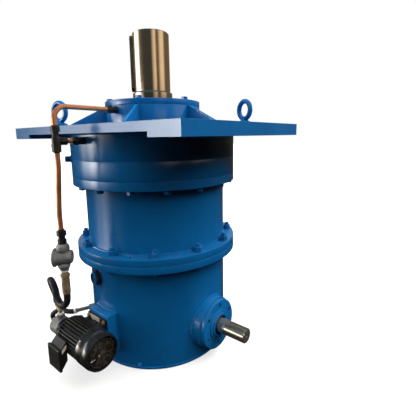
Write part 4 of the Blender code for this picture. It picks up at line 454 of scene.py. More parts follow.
class Shape:
    """A mesh in the making. Forms are added to it, and it becomes one piece."""

    def __init__(self):
        self.bm = bmesh.new()

    def rows(self, loops, ends_meet=False, capped=False):
        """Skins loops of equal counts, or of single points, with faces."""
        made = [[self.bm.verts.new(point) for point in loop] for loop in loops]
        pairs = list(zip(made, made[1:]))
        if ends_meet:
            pairs.append((made[-1], made[0]))
        count = max(len(loop) for loop in made)
        for upper, lower in pairs:
            for index in range(count):
                after = (index + 1) % count
                corners = []
                for vertex in (
                    upper[index % len(upper)],
                    upper[after % len(upper)],
                    lower[after % len(lower)],
                    lower[index % len(lower)],
                ):
                    if vertex not in corners:
                        corners.append(vertex)
                if len(corners) > 2:
                    self.bm.faces.new(corners)
        if capped:
            self.bm.faces.new(made[0])
            self.bm.faces.new(made[-1])
        return self

    def lathe(self, profile, steps=96, where=None, first=0.0):
        """A turned form. Its profile runs down the outer side, and back up the inner one of a ring."""
        where = where or upright()
        loops = []
        for radius, z in profile:
            if radius < 1e-6:
                loops.append([where @ Vector((0, 0, z))])
            else:
                loops.append([where @ polar(radius, angle, z) for angle in spread(steps, first)])
        return self.rows(loops, ends_meet=profile[0][0] > 0)

    def hexagon(self, flats, low, high, where, taper=0.12):
        """A hexagon head or nut with its upper corners turned off."""
        corner = flats / math.sqrt(3)
        lip = taper * corner
        profile = [(0, high), (corner - 1.6 * lip, high), (corner, high - lip), (corner, low), (0, low)]
        return self.lathe(profile, 6, where)

    def stud(self, radius, low, high, where, pitch=0.003):
        """A threaded end, as a row of ridges."""
        profile = [(0, high), (radius * 0.78, high)]
        z = high - pitch / 2
        while z > low + pitch:
            profile += [(radius, z), (radius * 0.86, z - pitch / 2)]
            z -= pitch
        return self.lathe([*profile, (radius, low), (0, low)], 20, where)

    def prism(self, outline, low, high, where=None):
        where = where or upright()
        return self.rows([[where @ Vector((x, y, z)) for x, y in outline] for z in (high, low)], capped=True)

    def box(self, low, high, where=None):
        outline = [(low[0], low[1]), (high[0], low[1]), (high[0], high[1]), (low[0], high[1])]
        return self.prism(outline, low[2], high[2], where)

    def sweep(self, route, radius, sides=8, closed=False, ripple=0.0, pitch=0.010):
        """A round bar along a route. A ripple swells it in even steps, as a weld bead does."""
        route = [Vector(point) for point in route]
        loops = []
        travelled = 0.0
        side = None
        for index, point in enumerate(route):
            before = route[index - 1] if closed or index else point
            after = route[(index + 1) % len(route)] if closed or index < len(route) - 1 else point
            along = (after - before).normalized()
            if side is None:
                side = along.orthogonal()
            side = (side - along * side.dot(along)).normalized()
            other = along.cross(side)
            travelled += (point - route[index - 1]).length if index else 0.0
            size = radius * (1 + ripple * math.sin(2 * math.pi * travelled / pitch))
            loops.append([point + size * (math.cos(a) * side + math.sin(a) * other) for a in spread(sides)])
        return self.rows(loops, ends_meet=closed, capped=not closed)

    def bead(self, route, radius, closed=False):
        """A weld bead along a route of closely spaced points."""
        return self.sweep(route, radius, 6, closed, ripple=0.13, pitch=0.0105)

    def round_bead(self, circle, z, radius, where=None):
        """A weld bead round a circle about local Z."""
        where = where or upright()
        count = max(24, round(2 * math.pi * circle / BEAD_STEP))
        return self.bead([where @ polar(circle, angle, z) for angle in spread(count)], radius, closed=True)

    def straight_bead(self, start, end, radius):
        start, end = Vector(start), Vector(end)
        count = max(2, round((end - start).length / BEAD_STEP))
        return self.bead([start.lerp(end, step / count) for step in range(count + 1)], radius)

    def combine(self, others, operation):
        """Joins other shapes to this one, or cuts them from it."""
        holders = [plain_object(shape.bm) for shape in (self, *others)]
        for other in holders[1:]:
            modifier = holders[0].modifiers.new("Combine", "BOOLEAN")
            modifier.operation = operation
            modifier.solver = "EXACT"
            modifier.object = other
        graph = bpy.context.evaluated_depsgraph_get()
        mesh = bpy.data.meshes.new_from_object(holders[0].evaluated_get(graph))
        self.bm = bmesh.new()
        self.bm.from_mesh(mesh)
        bpy.data.meshes.remove(mesh)
        for holder in holders:
            bpy.data.meshes.remove(holder.data)
        return self

    def joined(self, *others):
        return self.combine(others, "UNION")

    def without(self, *others):
        return self.combine(others, "DIFFERENCE")

    def piece(self, name, finish, slot, body="housing", stands_for=(), rounding=0.0, sharp=32):
        """Makes the shape one piece that rides on a body."""
        obj = plain_object(self.bm, name)
        obj.data.materials.append(bpy.data.materials[finish])
        obj.data.shade_smooth()
        obj.data.set_sharp_from_angle(angle=math.radians(sharp))
        if rounding:
            edges = obj.modifiers.new("Broken edges", "BEVEL")
            edges.width = rounding
            edges.segments = 2
            edges.limit_method = "ANGLE"
            edges.angle_limit = math.radians(sharp)
            edges.harden_normals = True
        return ride(obj, slot, body, stands_for)

    def painted(self, name, **options):
        """Makes the shape one piece in the blue enamel of the housing."""
        return self.piece(name, "blue_enamel", "blue_paint", **options)


def plain_object(bm, name="holder"):
    bmesh.ops.remove_doubles(bm, verts=bm.verts, dist=1e-6)
    bmesh.ops.recalc_face_normals(bm, faces=bm.faces)
    mesh = bpy.data.meshes.new(name)
    bm.to_mesh(mesh)
    bm.free()
    obj = bpy.data.objects.new(name, mesh)
    bpy.context.scene.collection.objects.link(obj)
    return obj


def ride(obj, slot, body="housing", stands_for=()):
    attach(obj, body)
    if stands_for:
        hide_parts(*stands_for)
    return obj


def line(name, route, radius, finish, slot, stands_for):
    """A pipe or hose as a curve with its own thickness."""
    curve = bpy.data.curves.new(name, "CURVE")
    curve.dimensions = "3D"
    curve.bevel_depth = radius
    curve.bevel_resolution = 6
    curve.use_fill_caps = True
    spline = curve.splines.new("POLY")
    spline.points.add(len(route) - 1)
    for point, place in zip(spline.points, route):
        point.co = (*place, 1)
    spline.use_smooth = True
    curve.materials.append(bpy.data.materials[finish])
    obj = bpy.data.objects.new(name, curve)
    bpy.context.scene.collection.objects.link(obj)
    return ride(obj, slot, "housing", stands_for)


class Nodes:
    """A node tree in the making."""

    def __init__(self, tree):
        self.tree = tree

    def node(self, kind, inputs=None, **settings):
        made = self.tree.nodes.new(kind)
        for name, value in settings.items():
            setattr(made, name, value)
        for key, value in (inputs or {}).items():
            if isinstance(value, bpy.types.NodeSocket):
                self.tree.links.new(value, made.inputs[key])
            else:
                made.inputs[key].default_value = value
        return made

    def mix_colours(self, blend, a, b, factor=1.0):
        values = {0: factor, 6: a, 7: b}
        values = {key: (*value, 1) if isinstance(value, tuple) else value for key, value in values.items()}
        return self.node("ShaderNodeMix", values, data_type="RGBA", blend_type=blend).outputs[2]

    def range(self, value, low, high, to_low=0.0, to_high=1.0):
        inputs = {"Value": value, "From Min": low, "From Max": high, "To Min": to_low, "To Max": to_high}
        return self.node("ShaderNodeMapRange", inputs).outputs[0]

    def shifted(self, height):
        """A height from -1 to 1 as a share from 0 to 1."""
        return self.node("ShaderNodeMath", {0: height, 1: 0.5, 2: 0.5}, operation="MULTIPLY_ADD").outputs[0]

    def ramp(self, value, stops):
        made = self.node("ShaderNodeValToRGB", {0: value})
        points = made.color_ramp.elements
        while len(points) < len(stops):
            points.new(0.5)
        for point, (position, shade) in zip(points, stops):
            point.position = position
            point.color = (*shade, 1)
        return made.outputs[0]


def by_azimuth(degrees):
    """The place of an azimuth on a radial gradient."""
    return (degrees + 180) / 360


def screen_stops(screens):
    """The stops of a ramp that shows each screen from its first azimuth to its last."""
    return [(by_azimuth(angle), shade) for first, last, shade in screens for angle in (first, last)]


def by_height(degrees):
    """The place of an elevation on a scale of heights."""
    return (math.sin(math.radians(degrees)) + 1) / 2


def grey_stops(place, levels):
    """The stops of a grey ramp whose angles are placed by the given function."""
    return [(place(angle), (level,) * 3) for angle, level in levels]


def seen_directly(node):
    """1 for the rays that see the background as white: from the camera, off gloss and through glass."""
    path = node("ShaderNodeLightPath")
    seen = path.outputs["Is Camera Ray"]
    for ray in ("Is Glossy Ray", "Is Transmission Ray"):
        seen = node("ShaderNodeMath", {0: seen, 1: path.outputs[ray]}, operation="MAXIMUM").outputs[0]
    return seen


class Finish(Nodes):
    """A material in the making, on a Principled shader in the object's own coordinates."""

    def __init__(self, name, roughness, metallic=0.0, **constants):
        made = bpy.data.materials.new(name)
        made.use_nodes = True
        self.tree = made.node_tree
        self.shader = self.tree.nodes["Principled BSDF"]
        self.set("Roughness", roughness)
        self.set("Metallic", metallic)
        for socket, value in constants.items():
            self.set(socket.replace("_", " "), value)
        self.place = self.node("ShaderNodeTexCoord").outputs["Object"]

    def set(self, socket, value):
        target = self.shader.inputs[socket]
        if isinstance(value, bpy.types.NodeSocket):
            self.tree.links.new(value, target)
        elif socket == "Base Color":
            target.default_value = (*value, 1)
        else:
            target.default_value = value

    def noise(self, scale, detail=2.0, stretch=(1, 1, 1)):
        mapped = self.node("ShaderNodeMapping", {"Vector": self.place, "Scale": stretch}).outputs[0]
        inputs = {"Vector": mapped, "Scale": scale, "Detail": detail}
        return self.node("ShaderNodeTexNoise", inputs).outputs[0]

    def times(self, a, b):
        return self.node("ShaderNodeMath", {0: a, 1: b}, operation="MULTIPLY").outputs[0]

    def plus(self, a, b):
        return self.node("ShaderNodeMath", {0: a, 1: b}, operation="ADD").outputs[0]

    def mix(self, factor, a, b):
        return self.mix_colours("MIX", a, b, factor)

    def facing_up(self):
        normal = self.node("ShaderNodeNewGeometry").outputs["Normal"]
        return self.node("ShaderNodeSeparateXYZ", {0: normal}).outputs[2]

    def bump(self, height, strength, distance=0.001):
        made = self.node("ShaderNodeBump", {"Height": height, "Strength": strength, "Distance": distance})
        self.set("Normal", made.outputs[0])


def tinted(shade, factor):
    return tuple(min(1.0, channel * factor) for channel in shade)


def blue_paint(looks):
    """Gloss enamel, brushed on: slow runs of shade, fine orange peel and a little dust on top faces."""
    made = Finish("blue_enamel", 0.2, Specular_IOR_Level=0.42)
    slow = made.range(made.noise(3.0, 3.0), 0.35, 0.65)
    base = made.mix(slow, tuple(looks.paint_deep), tuple(looks.paint))
    specks = made.range(made.noise(95.0, 3.0), 0.60, 0.72, 0.0, 0.25)
    base = made.mix(specks, base, tinted(looks.paint, 1.5))
    grime = made.range(made.noise(16.0, 4.0), 0.60, 0.75, 0.0, 0.30)
    base = made.mix(grime, base, tinted(looks.paint_deep, 0.55))
    dust = made.range(made.noise(24.0, 4.0), 0.4, 0.8, 0.0, 0.10)
    dust = made.times(made.range(made.facing_up(), 0.6, 1.0), dust)
    made.set("Base Color", made.mix(dust, base, (0.10, 0.19, 0.32)))
    made.set("Roughness", made.range(made.noise(7.0, 3.0), 0.3, 0.7, 0.15, 0.23))
    peel = made.noise(190.0, 2.0)
    patches = made.range(made.noise(6.0), 0.42, 0.62, 0.0, 0.8)
    lines = made.times(made.noise(230.0, 2.0, (0.04, 0.04, 1)), patches)
    brush = made.noise(26.0, 3.0, (1, 1, 3.5))
    made.bump(made.plus(made.plus(made.times(peel, 0.35), brush), lines), 0.13, 0.0016)


def turned_steel(name, looks, stretch, roughness, axis, metallic):
    """Steel off the lathe under a film of oil: rings of tool marks along one axis."""
    made = Finish(name, roughness, metallic, Anisotropic=0.35)
    rings = made.noise(9.0, 2.0, stretch)
    stain = made.range(made.noise(11.0, 4.0), 0.42, 0.72)
    base = made.mix(made.range(rings, 0.3, 0.7), tinted(looks.steel, 0.86), tuple(looks.steel))
    made.set("Base Color", made.mix(made.times(stain, 0.30), base, tinted((0.50, 0.36, 0.22), 0.80)))
    made.set("Roughness", made.range(rings, 0.3, 0.7, roughness * 0.85, roughness * 1.25))
    made.bump(rings, 0.03, 0.0002)
    tangent = made.node("ShaderNodeTangent", direction_type="RADIAL", axis=axis)
    made.set("Tangent", tangent.outputs[0])


def key_steel():
    """Keys as they come off the bar, browned by old oil, with painted shade: near black over the lower end.
    """
    made = Finish("key_steel", 0.44, 0.75)
    stain = made.range(made.noise(24.0, 4.0, (1, 1, 0.35)), 0.38, 0.66)
    height = made.node("ShaderNodeSeparateXYZ", {0: made.place}).outputs[2]
    base = made.mix(stain, (0.20, 0.145, 0.10), (0.11, 0.082, 0.058))
    # Painted shade: the key's lower end fades to near black by height
    made.set("Base Color", made.mix(made.range(height, *KEY_SHADED_END, 1.0, 0.0), base, (0.004, 0.004, 0.004)))
    made.set("Roughness", made.range(made.noise(60.0, 3.0), 0.3, 0.7, 0.34, 0.55))
    made.bump(made.noise(180.0, 3.0), 0.15, 0.0006)


def ground_steel():
    """Bearing and gear steel, bright and even."""
    made = Finish("ground_steel", 0.24, 1.0)
    marks = made.noise(60.0, 3.0)
    made.set("Base Color", made.mix(made.range(marks, 0.3, 0.7), (0.38, 0.39, 0.40), (0.56, 0.56, 0.57)))
    made.set("Roughness", made.range(marks, 0.3, 0.7, 0.2, 0.34))


def copper_pipe(looks):
    """Drawn copper tube, browned in patches."""
    made = Finish("copper_tube", 0.4, 0.65)
    patches = made.range(made.noise(14.0, 4.0), 0.42, 0.68)
    base = made.mix(made.times(patches, 0.65), tuple(looks.copper), (0.36, 0.115, 0.045))
    spots = made.range(made.noise(120.0, 3.0), 0.64, 0.72, 0.0, 0.5)
    made.set("Base Color", made.mix(spots, base, (0.20, 0.07, 0.035)))
    made.set("Roughness", made.range(patches, 0.0, 1.0, 0.34, 0.48))
    made.bump(made.noise(90.0, 2.0), 0.06, 0.0005)


def dull_brass(looks):
    made = Finish("dull_brass", 0.42, 0.45)
    patches = made.range(made.noise(40.0, 4.0), 0.35, 0.7)
    made.set("Base Color", made.mix(patches, tuple(looks.brass), (0.17, 0.12, 0.08)))
    made.set("Roughness", made.range(patches, 0.0, 1.0, 0.32, 0.55))
    made.bump(made.noise(150.0, 2.0), 0.1, 0.0005)


def black_fitting():
    """Blackened steel fittings, rubbed brown on their corners."""
    made = Finish("blackened_steel", 0.5, 0.15)
    rub = made.range(made.noise(70.0, 4.0), 0.52, 0.72, 0.0, 0.7)
    made.set("Base Color", made.mix(rub, (0.010, 0.009, 0.008), (0.055, 0.042, 0.028)))
    made.set("Roughness", made.range(made.noise(30.0, 2.0), 0.3, 0.7, 0.4, 0.6))
    made.bump(made.noise(220.0, 2.0), 0.12, 0.0006)


def black_enamel(looks, name, smoothest, roughest, level):
    """The motor's paint: half gloss over a sand casting, with a trace of oil and dust."""
    made = Finish(name, smoothest, Specular_IOR_Level=level)
    haze = made.range(made.noise(12.0, 4.0), 0.45, 0.75, 0.0, 0.5)
    base = made.mix(haze, tuple(looks.black), (0.020, 0.016, 0.012))
    dust = made.range(made.noise(40.0, 4.0), 0.4, 0.7, 0.05, 0.35)
    dust = made.times(made.range(made.facing_up(), 0.4, 1.0), dust)
    made.set("Base Color", made.mix(dust, base, (0.026, 0.022, 0.018)))
    made.set("Roughness", made.range(made.noise(18.0, 3.0), 0.3, 0.7, smoothest, roughest))
    made.bump(made.noise(260.0, 3.0), 0.10, 0.0008)


def grey_casting(looks):
    made = Finish("grey_casting", 0.55, 0.35, Specular_IOR_Level=0.45)
    pits = made.noise(160.0, 4.0)
    broad = made.range(made.noise(22.0, 3.0), 0.35, 0.7)
    base = made.mix(broad, tinted(looks.cast, 0.72), tinted(looks.cast, 1.35))
    made.set("Base Color", made.mix(made.range(pits, 0.55, 0.7, 0.0, 0.5), base, (0.07, 0.065, 0.06)))
    made.set("Roughness", made.range(pits, 0.3, 0.7, 0.42, 0.68))
    made.bump(pits, 0.35, 0.001)


def hose_rubber():
    made = Finish("hose_rubber", 0.5, Specular_IOR_Level=0.4)
    bloom = made.range(made.noise(30.0, 4.0), 0.4, 0.75, 0.0, 0.6)
    made.set("Base Color", made.mix(bloom, (0.006, 0.006, 0.006), (0.018, 0.017, 0.016)))
    made.set("Roughness", made.range(made.noise(50.0, 2.0), 0.3, 0.7, 0.42, 0.6))
    made.bump(made.noise(300.0, 2.0), 0.15, 0.0006)


def dull_steel():
    """Steel pipe with a film of grease."""
    made = Finish("dull_steel", 0.42, 0.5)
    film = made.range(made.noise(60.0, 3.0), 0.35, 0.7)
    made.set("Base Color", made.mix(film, (0.13, 0.16, 0.17), (0.22, 0.24, 0.24)))
    made.bump(made.noise(200.0, 2.0), 0.08, 0.0004)


def grille_wire():
    """The fan grille, rubbed to bare metal on its wires."""
    made = Finish("grille_wire", 0.34, 0.6)
    rub = made.range(made.noise(80.0, 3.0), 0.42, 0.62)
    made.set("Base Color", made.mix(rub, (0.035, 0.028, 0.022), (0.16, 0.13, 0.10)))


def dark_glass():
    made = Finish("sight_glass", 0.06, Specular_IOR_Level=0.8, Coat_Weight=0.6, Coat_Roughness=0.03)
    film = made.range(made.noise(45.0, 3.0), 0.4, 0.7)
    made.set("Base Color", made.mix(film, (0.005, 0.003, 0.002), (0.022, 0.012, 0.006)))


def bare_plate():
    """An unprinted metal label."""
    made = Finish("bare_label", 0.38, 0.05)
    scuff = made.range(made.noise(130.0, 3.0), 0.45, 0.7)
    made.set("Base Color", made.mix(scuff, (0.58, 0.52, 0.48), (0.42, 0.37, 0.33)))
    made.set("Roughness", made.range(scuff, 0.0, 1.0, 0.3, 0.5))


def thread_tape():
    made = Finish("thread_tape", 0.6, Subsurface_Weight=0.1)
    folds = made.noise(260.0, 3.0)
    made.set("Base Color", made.mix(made.range(folds, 0.35, 0.7), (0.62, 0.62, 0.60), (0.86, 0.86, 0.85)))
    made.bump(folds, 0.5, 0.001)


class ReducerOperator:
    """What the reducer's operators share."""

    bl_options = {"REGISTER", "UNDO"}

    def execute(self, context):
        self.build(context.scene.reducer)
        return {"FINISHED"}


class ReducerSettings(PropertyGroup):
    """All of the reducer's settings."""

    housing: PointerProperty(type=ReducerHousing)
    shafts: PointerProperty(type=ReducerShafts)
    fasteners: PointerProperty(type=ReducerFasteners)
    motor: PointerProperty(type=ReducerMotor)
    lines: PointerProperty(type=ReducerLines)
    finishes: PointerProperty(type=ReducerFinishes)
    stage: PointerProperty(type=ReducerStage)


class REDUCER_OT_finishes(ReducerOperator, Operator):
    """Make the materials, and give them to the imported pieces"""

    bl_idname = "reducer.finishes"
    bl_label = "Finishes"

    def build(self, settings):
        looks = settings.finishes
        blue_paint(looks)
        turned_steel("output_shaft_steel", looks, (0.12, 0.12, 26), 0.13, "Z", 1.0)
        turned_steel("input_shaft_steel", looks, (60, 0.4, 0.4), 0.12, "X", 0.9)
        key_steel()
        ground_steel()
        copper_pipe(looks)
        dull_brass(looks)
        black_fitting()
        black_enamel(looks, "black_enamel", 0.36, 0.50, 0.28)
        black_enamel(looks, "cover_enamel", 0.17, 0.26, 0.75)
        grey_casting(looks)
        hose_rubber()
        dull_steel()
        grille_wire()
        dark_glass()
        bare_plate()
        thread_tape()
        by_slot = {
            "blue_paint": "blue_enamel",
            "bright_steel": "ground_steel",
            "bearing_steel": "ground_steel",
            "copper": "copper_tube",
            "brass": "dull_brass",
            "black_steel": "blackened_steel",
            "motor_black": "black_enamel",
            "cast_iron": "grey_casting",
            "black_rubber": "hose_rubber",
            "sight_glass": "sight_glass",
        }
        for row in frame["record"]["subparts"]:
            node = frame["nodes"][row["node"]]
            finish = bpy.data.materials[by_slot[row["material_slot"]]]
            for slot in node.material_slots:
                slot.material = finish


class REDUCER_OT_base_cover(ReducerOperator, Operator):
    """Add the disc that closes the housing below"""

    bl_idname = "reducer.base_cover"
    bl_label = "Base cover"

    def build(self, settings):
        size = settings.housing
        profile = [
            (0, 0.008),
            (WEB_BORE, 0.008),
            (WEB_BORE, FOOT_SEAT_TOP),
            (FOOT_SEAT, FOOT_SEAT_TOP),
            (FOOT_SEAT, COVER_TOP),
            (size.column, COVER_TOP),
            (size.column, 0),
            (0, 0),
        ]
        cover = Shape().lathe(rounded(profile, size.rounding), ROUND_STEPS)
        cover.painted("base_disc", stands_for=["base_cover"])


class REDUCER_OT_lower_column(ReducerOperator, Operator):
    """Add the lower column with its input boss, motor bracket and level port"""

    bl_idname = "reducer.lower_column"
    bl_label = "Lower column"

    def build(self, settings):
        size = settings.housing
        profile = [
            (size.drum, FLANGE_SEAM - SEAT / 2),
            (size.drum, LOWER_FLANGE_FOOT),
            (size.column, LOWER_FLANGE_FOOT),
            (size.column, COVER_TOP + SEAT),
            (COLUMN_BORE, COVER_TOP + SEAT),
            (COLUMN_BORE, FLANGE_SEAM - SEAT / 2),
        ]
        column = Shape().lathe(rounded(profile, size.rounding), ROUND_STEPS)
        boss_depth = INPUT_BOSS_FACE - INPUT_BOSS_FOOT
        boss_profile = rounded(disc(INPUT_BOSS, 0, boss_depth), 0.005)
        boss = Shape().lathe(boss_profile, 96, along_x(INPUT_BOSS_FOOT, 0, INPUT_Z))
        bracket = Shape().box(BRACKET_LOW, BRACKET_HIGH)
        edges = bracket.bm.edges[:]
        bmesh.ops.bevel(
            bracket.bm, geom=edges, offset=size.rounding, segments=2, affect="EDGES", profile=0.5
        )
        level_place = radial(LEVEL_FOOT, LEVEL_ANGLE, LEVEL_Z)
        level_profile = rounded(disc(LEVEL_BOSS, 0, 0.046), 0.0055)
        level = Shape().lathe(level_profile, 40, level_place)
        column.joined(boss, bracket, level)
        bore = Shape().lathe(disc(0.078, -0.01, 0.21), 64, along_x(INPUT_BOSS_FOOT, 0, INPUT_Z))
        level_bore = Shape().lathe(disc(0.0245, 0, 0.030), 32, radial(LEVEL_SEAT, LEVEL_ANGLE, LEVEL_Z))
        column.without(bore, level_bore)
        column.painted("lower_column", stands_for=["lower_housing"])
        # A black collar round the level boss: painted shade, standing for the dark, shaded side of the boss
        collar = [(0.0343, 0.037), (0.0362, 0.034), (0.0425, 0.018), (0.0343, 0.018)]
        shade_collar = Shape().lathe(rounded(collar, 0.0008, 1), 40, level_place)
        shade_collar.piece("level_port_sealing", "hose_rubber", "black_rubber")


class REDUCER_OT_upper_column(ReducerOperator, Operator):
    """Add the upper column, from the flange to the drum's foot"""

    bl_idname = "reducer.upper_column"
    bl_label = "Upper column"

    def build(self, settings):
        size = settings.housing
        top = RING_FOOT - SEAT / 2
        web = top - 0.040
        profile = [
            (size.drum, top),
            (size.drum, DRUM_FOOT),
            (size.column, DRUM_FOOT),
            (size.column, UPPER_FLANGE_TOP),
            (size.drum, UPPER_FLANGE_TOP),
            (size.drum, FLANGE_SEAM + SEAT / 2),
            (COLUMN_BORE, FLANGE_SEAM + SEAT / 2),
            (COLUMN_BORE, web),
            (WEB_BORE, web),
            (WEB_BORE, top),
        ]
        column = Shape().lathe(rounded(profile, size.rounding), ROUND_STEPS)
        jack_place = upright(*polar(FLANGE_CIRCLE, JACK_ANGLE, UPPER_FLANGE_TOP - 0.02))
        jack_hole = Shape().lathe(disc(0.008, 0, 0.03), 24, jack_place)
        column.without(jack_hole)
        column.painted("upper_column", stands_for=["middle_housing"])


class REDUCER_OT_ring_housing(ReducerOperator, Operator):
    """Add the ring of the cycloid stage, with its pins"""

    bl_idname = "reducer.ring_housing"
    bl_label = "Ring housing"

    def build(self, settings):
        size = settings.housing
        low, high = RING_FOOT + SEAT / 2, RING_TOP - SEAT / 2
        profile = [(size.drum, high), (size.drum, low), (RING_BORE, low), (RING_BORE, high)]
        ring = Shape().lathe(rounded(profile, GROOVE, 2), DRUM_STEPS)
        for angle in spread(12):
            pin = disc(RING_PIN, low + 0.001, high - 0.001)
            ring.lathe(rounded(pin, 0.001, 1), 28, upright(*polar(RING_PIN_CIRCLE, angle)))
        ring.painted("ring_housing", stands_for=["pin_ring"])
        filled = Shape()
        for first, last in SEAM_FILLED:
            steps = round((last - first) * 1.5)
            turns = [math.radians(first + (last - first) * step / steps) for step in range(steps + 1)]
            filled.sweep([polar(size.drum - GROOVE * 0.55, turn, RING_TOP) for turn in turns], GROOVE, 6)
        filled.painted("seam_filler")


class REDUCER_OT_plate_housing(ReducerOperator, Operator):
    """Add the drum's top, the mounting plate, its rails and the gusseted boss"""

    bl_idname = "reducer.plate_housing"
    bl_label = "Plate housing"

    def build(self, settings):
        size = settings.housing
        half_x, half_y = size.plate_half_x, size.plate_half_y
        plate_top = PLATE_FOOT + size.plate_thick
        drum_low = RING_TOP + SEAT / 2
        housing = Shape().box((-half_x, -half_y, PLATE_FOOT), (half_x, half_y, plate_top))
        parts = [
            Shape().lathe(rounded(disc(size.drum, drum_low, PLATE_FOOT + 0.01), GROOVE, 2), DRUM_STEPS),
            Shape().lathe(rounded(disc(size.boss, PLATE_FOOT, BOSS_TOP), GROOVE, 2), BOSS_STEPS),
        ]
        for side in (-1, 1):
            ends = sorted((side * half_x, side * (half_x - RAIL_WIDTH)))
            parts.append(
                Shape().box((ends[0], -half_y, PLATE_FOOT - RAIL_DROP), (ends[1], half_y, PLATE_FOOT + 0.01))
            )
        for angle in spread(6):
            outline = [
                (size.boss - 0.01, plate_top - 0.005),
                (GUSSET_FOOT, plate_top - 0.005),
                (GUSSET_FOOT, plate_top + 0.010),
                (size.boss + 0.010, BOSS_TOP - 0.003),
                (size.boss - 0.01, BOSS_TOP - 0.003),
            ]
            where = Matrix.Rotation(angle, 4, "Z") @ QUARTER_TURN
            parts.append(Shape().prism(outline, -GUSSET_THICK / 2, GUSSET_THICK / 2, where))
        housing.joined(*parts)
        bore = [
            (0, BOSS_TOP + 0.01),
            (BEARING_BORE, BOSS_TOP + 0.01),
            (BEARING_BORE, BEARING_SHOULDER),
            (THROAT, BEARING_SHOULDER),
            (THROAT, PLATE_FOOT),
            (DRUM_THROAT, PLATE_FOOT),
            (DRUM_THROAT, RING_SHOULDER),
            (RING_BORE, RING_SHOULDER),
            (RING_BORE, drum_low - 0.01),
            (0, drum_low - 0.01),
        ]
        housing.without(Shape().lathe(bore, BOSS_STEPS))
        housing.painted("plate_housing", stands_for=["upper_housing"], rounding=0.0018, sharp=40)


class REDUCER_OT_welds(ReducerOperator, Operator):
    """Add the weld beads of the housing"""

    bl_idname = "reducer.welds"
    bl_label = "Welds"

    def build(self, settings):
        size = settings.housing
        weld = size.weld
        column = size.column + 0.001
        Shape().round_bead(column, COVER_TOP + 0.001, weld * 0.45).painted("foot_weld")
        flanges = Shape().round_bead(column, LOWER_FLANGE_FOOT - 0.001, weld)
        flanges.round_bead(column + 0.001, UPPER_FLANGE_TOP + 0.001, weld * 1.25)
        flanges.round_bead(column, DRUM_FOOT - 0.001, weld)
        flanges.painted("flange_welds")
        boss = Shape()
        route = []
        reach = INPUT_BOSS + 0.001
        for angle in spread(250):
            y, z = reach * math.sin(angle), reach * math.cos(angle)
            route.append(Vector((math.sqrt((column + 0.002) ** 2 - y * y), y, INPUT_Z + z)))
        boss.bead(route, weld * 1.2, closed=True)
        level_place = radial(LEVEL_FOOT - 0.0005, LEVEL_ANGLE, LEVEL_Z)
        boss.round_bead(LEVEL_BOSS + 0.0005, 0.0195, weld * 0.7, level_place)
        boss.painted("boss_welds")
        bracket = Shape()
        low_x, high_x = BRACKET_LOW.x, BRACKET_HIGH.x
        steps = 46
        for z in (BRACKET_HIGH.z, BRACKET_LOW.z):
            xs = [low_x + (high_x - low_x) * step / steps for step in range(steps + 1)]
            bracket.bead([(x, -math.sqrt(column**2 - x * x), z) for x in xs], weld * 0.95)
        for x in (low_x, high_x):
            y = -math.sqrt(column**2 - x * x)
            bracket.straight_bead((x, y, BRACKET_LOW.z), (x, y, BRACKET_HIGH.z), weld * 0.95)
        bracket.painted("bracket_welds")
        plate_top = PLATE_FOOT + size.plate_thick
        top = Shape().round_bead(size.boss + 0.001, plate_top + 0.001, weld)
        for angle in spread(6):
            across = Matrix.Rotation(angle, 4, "Z")
            for side in (-1, 1):
                y = side * GUSSET_THICK / 2
                foot = across @ Vector((size.boss, y, plate_top))
                toe = across @ Vector((GUSSET_FOOT - 0.004, y, plate_top))
                head = across @ Vector((size.boss, y, BOSS_TOP - 0.006))
                top.straight_bead(foot, toe, weld * 0.75).straight_bead(foot, head, weld * 0.75)
        top.painted("gusset_welds")
        under = Shape().round_bead(size.drum + 0.001, PLATE_FOOT - 0.001, weld * 0.9)
        for side in (-1, 1):
            x = side * (size.plate_half_x - RAIL_WIDTH)
            reach = size.plate_half_y - 0.006
            under.straight_bead((x, -reach, PLATE_FOOT), (x, reach, PLATE_FOOT), weld * 0.8)
        under.painted("plate_welds")


class REDUCER_OT_fasteners(ReducerOperator, Operator):
    """Add the nuts and bolts of the flanges, the drum and the lid"""

    bl_idname = "reducer.fasteners"
    bl_label = "Fasteners"

    def build(self, settings):
        size = settings.fasteners
        flats = size.flange_flats
        flange = Shape()
        for angle in spread(12, FLANGE_FIRST):
            above = upright(*polar(FLANGE_CIRCLE, angle, UPPER_FLANGE_TOP), angle)
            washer = rounded(disc(flats * 0.57, 0, 0.003), 0.001, 1)
            flange.lathe(washer, 32, above)
            flange.hexagon(flats, 0.003, 0.026, above)
            flange.stud(flats / 2.9, 0.025, 0.040, above)
            below = hanging(*polar(FLANGE_CIRCLE, angle, LOWER_FLANGE_FOOT), angle)
            flange.lathe(washer, 32, below)
            flange.hexagon(flats, 0.003, 0.016, below)
        flange.painted("flange_bolts")
        drum = Shape()
        for angle in spread(size.drum_count, DRUM_FIRST):
            below = hanging(*polar(DRUM_CIRCLE, angle, DRUM_FOOT), angle)
            collar = size.drum_flats * 0.60
            drum.lathe(rounded(disc(collar, 0, 0.0025), 0.0008, 1), 28, below)
            drum.hexagon(size.drum_flats, 0.0025, 0.019, below)
        drum.painted("drum_bolts")


